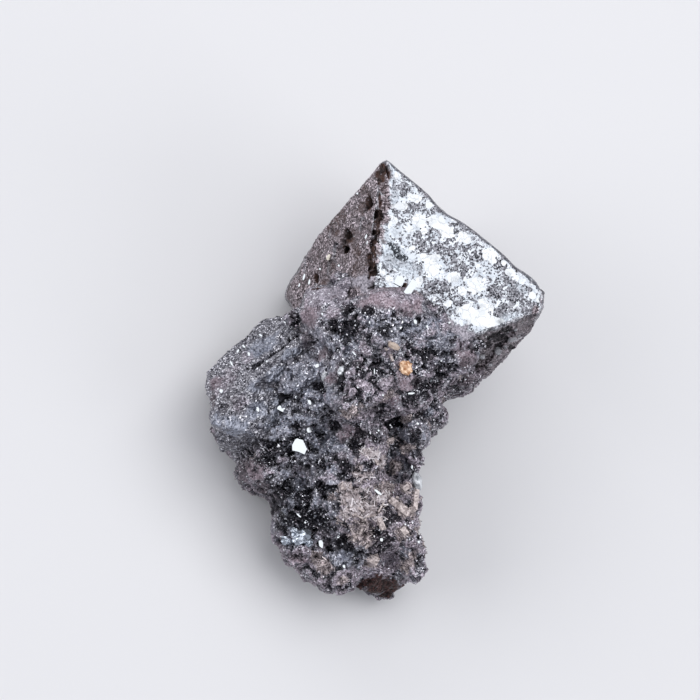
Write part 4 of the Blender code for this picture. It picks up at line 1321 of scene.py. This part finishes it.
def brokenAround(items):
    # each lath with smaller broken ones beside it
    rng = np.random.default_rng(brokenLaths["seed"])
    away = brokenLaths["away"]
    lean = brokenLaths["lean"]
    crumbs = []
    for x, y, size, _, lift, *_ in items:
        for _ in range(brokenLaths["number"] if y > brokenLaths["below"] else 0):
            share = rng.uniform(brokenLaths["smallest"], brokenLaths["largest"])
            small = tuple(side * share for side in size)
            aside = rng.uniform(-away, away, 2)
            leaning = tuple(rng.uniform(-lean, lean, 2))
            turn = rng.uniform(0, 180)
            crumbs.append((x + aside[0], y + aside[1], small, turn, lift * brokenLaths["sunk"], leaning))
    return items + crumbs


def grainFinish(name, dark, light, rough, metal=0.0, size=0.22):
    finish = Finish(name)
    tone = finish.channel(finish.grains(size), "Red")
    colour = finish.blend(tone, dark, light)
    return finish.done(colour=colour, rough=rough, metal=metal)


def lumpShape(name, relief, salt):
    # a faceted lump of radius 1
    bm = bmesh.new()
    bmesh.ops.create_icosphere(bm, subdivisions=3, radius=1)
    mesh = bpy.data.meshes.new(name)
    bm.to_mesh(mesh)
    bm.free()
    points = pointsOf(mesh)
    bumps = blockRelief(points, 0.75, relief, salt) + blockRelief(points, 0.4, relief, salt + 5)
    setPoints(mesh, points * (1 + bumps[:, None]))
    shape = bpy.data.objects.new(name, mesh)
    bpy.context.scene.collection.objects.link(shape)
    return shape


strayGrains = {
    "orangeGrain": {
        "places": [(404, 369.5, (0.56, 0.66, 0.48), 20, 0.28)],
        "relief": 0.50, "dark": (0.40, 0.185, 0.085), "light": (0.99, 0.74, 0.53), "rough": 0.40,
    },
    "beigeGrain": {
        "places": [(393, 347, (0.58, 0.30, 0.30), -22, 0.18)],
        "relief": 0.35, "dark": (0.36, 0.28, 0.23), "light": (0.60, 0.50, 0.43), "rough": 0.55,
    },
    "creamGrain": {
        "places": [(328, 258, (0.20, 0.30, 0.20), -20, 0.05)],
        "relief": 0.3, "dark": (0.55, 0.50, 0.42), "light": (0.85, 0.80, 0.70), "rough": 0.5,
        "slot": "main_crystal",
    },
    "greyGrains": {
        "places": [
            (323.6, 378, (0.34, 0.48, 0.25), -8, 0.12), (340, 372, (0.34, 0.46, 0.35), -30, 0.2),
            (416.5, 482, (0.46, 0.86, 0.34), 10, 0.0),
        ],
        "relief": 0.30, "dark": (0.22, 0.23, 0.25), "light": (0.75, 0.77, 0.80), "rough": 0.35, "metal": 0.3,
    },
    "dullGrains": {
        "places": [
            (481, 357, (0.30, 0.28, 0.16), 0, -0.03), (498, 351, (0.34, 0.42, 0.16), -20, -0.03),
            (511, 340, (0.44, 0.26, 0.16), 30, -0.03), (505, 347, (0.18, 0.2, 0.14), 0, -0.03),
            (518, 336, (0.24, 0.12, 0.14), 20, -0.03), (515, 330, (0.18, 0.16, 0.14), 0, -0.03),
            (490, 365, (0.2, 0.16, 0.12), 10, -0.03),
        ],
        "relief": 0.35, "dark": (0.20, 0.20, 0.215), "light": (0.42, 0.42, 0.45), "rough": 0.5,
        "slot": "main_crystal",
    },
    "blueCrystals": {
        "places": [
            (300, 538, (0.88, 0.62, 0.50), 25, 0.10), (287, 541, (0.66, 0.42, 0.32), 10, 0.06),
            (294, 531, (0.35, 0.26, 0.25), -20, 0.1), (308, 543, (0.42, 0.36, 0.25), 40, 0.05),
        ],
        "relief": 0.62, "dark": (0.20, 0.23, 0.28), "light": (0.66, 0.71, 0.78), "rough": 0.20,
        "metal": 0.75,
    },
}

placedPiece("flakes", plateShape(0.30, *largePlate), flakes, plateFinish)
placedPiece("largeFlake", plateShape(0.20, *brightFlake), largeFlake, plateFinish)
placedPiece("brightBars", barShape(0.9, 0.30), brightBars, plateFinish)
lathFinish = grainFinish("tanLaths", (0.22, 0.180, 0.175), (0.72, 0.630, 0.61), 0.5, size=0.2)
placedPiece("laths", barShape(2.0, 0.30), brokenAround(laths), lathFinish)
for name, grain in strayGrains.items():
    metal = grain.get("metal", 0.0)
    finish = grainFinish(name + "Finish", grain["dark"], grain["light"], grain["rough"], metal)
    lump = lumpShape(name + "Shape", grain["relief"], len(name))
    placedPiece(name, lump, grain["places"], finish)


# The pale floor, the soft lights and the camera.
studio = {
    "floor": (0.715, 0.711, 0.722),
    "floorSize": 4.0,
    "world": (0.385, 0.400, 0.445),
    # direction, distance in m, size in m, brightness
    "lights": {
        "key": ((0.2737, 0.2114, 0.9383), 0.55, (0.55, 0.50), 2.1),
        "left": ((-0.90, 0.10, 0.42), 0.70, (0.55, 0.55), 2.3),
        "right": ((0.75, -0.45, 0.48), 0.75, (0.50, 0.45), 1.8),
        "back": ((-0.25, 0.85, 0.45), 0.80, (0.60, 0.40), 1.9),
    },
}


def makeFloor():
    half = studio["floorSize"] / 2
    mesh = bpy.data.meshes.new("floor")
    corners = [(-half, -half, 0), (half, -half, 0), (half, half, 0), (-half, half, 0)]
    mesh.from_pydata(corners, [], [(0, 1, 2, 3)])
    finish = Finish("paleFloor")
    mesh.materials.append(finish.done(colour=studio["floor"], rough=0.7))
    floor = bpy.data.objects.new("floor", mesh)
    bpy.context.scene.collection.objects.link(floor)


def makeLights():
    middle = Vector(view["aim"]) * mm
    for name, (direction, distance, size, brightness) in studio["lights"].items():
        light = bpy.data.lights.new(name, "AREA")
        light.shape = "RECTANGLE"
        light.size, light.size_y = size
        light.energy = brightness * math.pi * size[0] * size[1]
        lamp = bpy.data.objects.new(name, light)
        way = Vector(direction).normalized()
        lamp.location = middle + way * distance
        lamp.rotation_euler = way.to_track_quat("Z", "Y").to_euler()
        lamp.visible_camera = False
        bpy.context.scene.collection.objects.link(lamp)
    world = bpy.data.worlds.new("studio")
    world.use_nodes = True
    world.node_tree.nodes["Background"].inputs["Color"].default_value = (*studio["world"], 1)
    bpy.context.scene.world = world


def makeCamera():
    camera = bpy.data.cameras.new("camera")
    camera.lens = view["lens"]
    camera.sensor_width = view["sensor"]
    camera.clip_start = 0.01
    camera.clip_end = 20
    holder = bpy.data.objects.new("camera", camera)
    turn = Matrix((viewRight, viewUp, viewBack)).transposed().to_4x4()
    holder.matrix_world = Matrix.Translation(viewPlace * mm) @ turn
    bpy.context.scene.collection.objects.link(holder)
    bpy.context.scene.camera = holder


makeFloor()
makeLights()
makeCamera()
bpy.context.scene.view_settings.view_transform = "Standard"
for mesh in (mainHost, sideHost, groundHost, *cadMeshes.values()):
    bpy.data.meshes.remove(mesh)
print("studio ready")
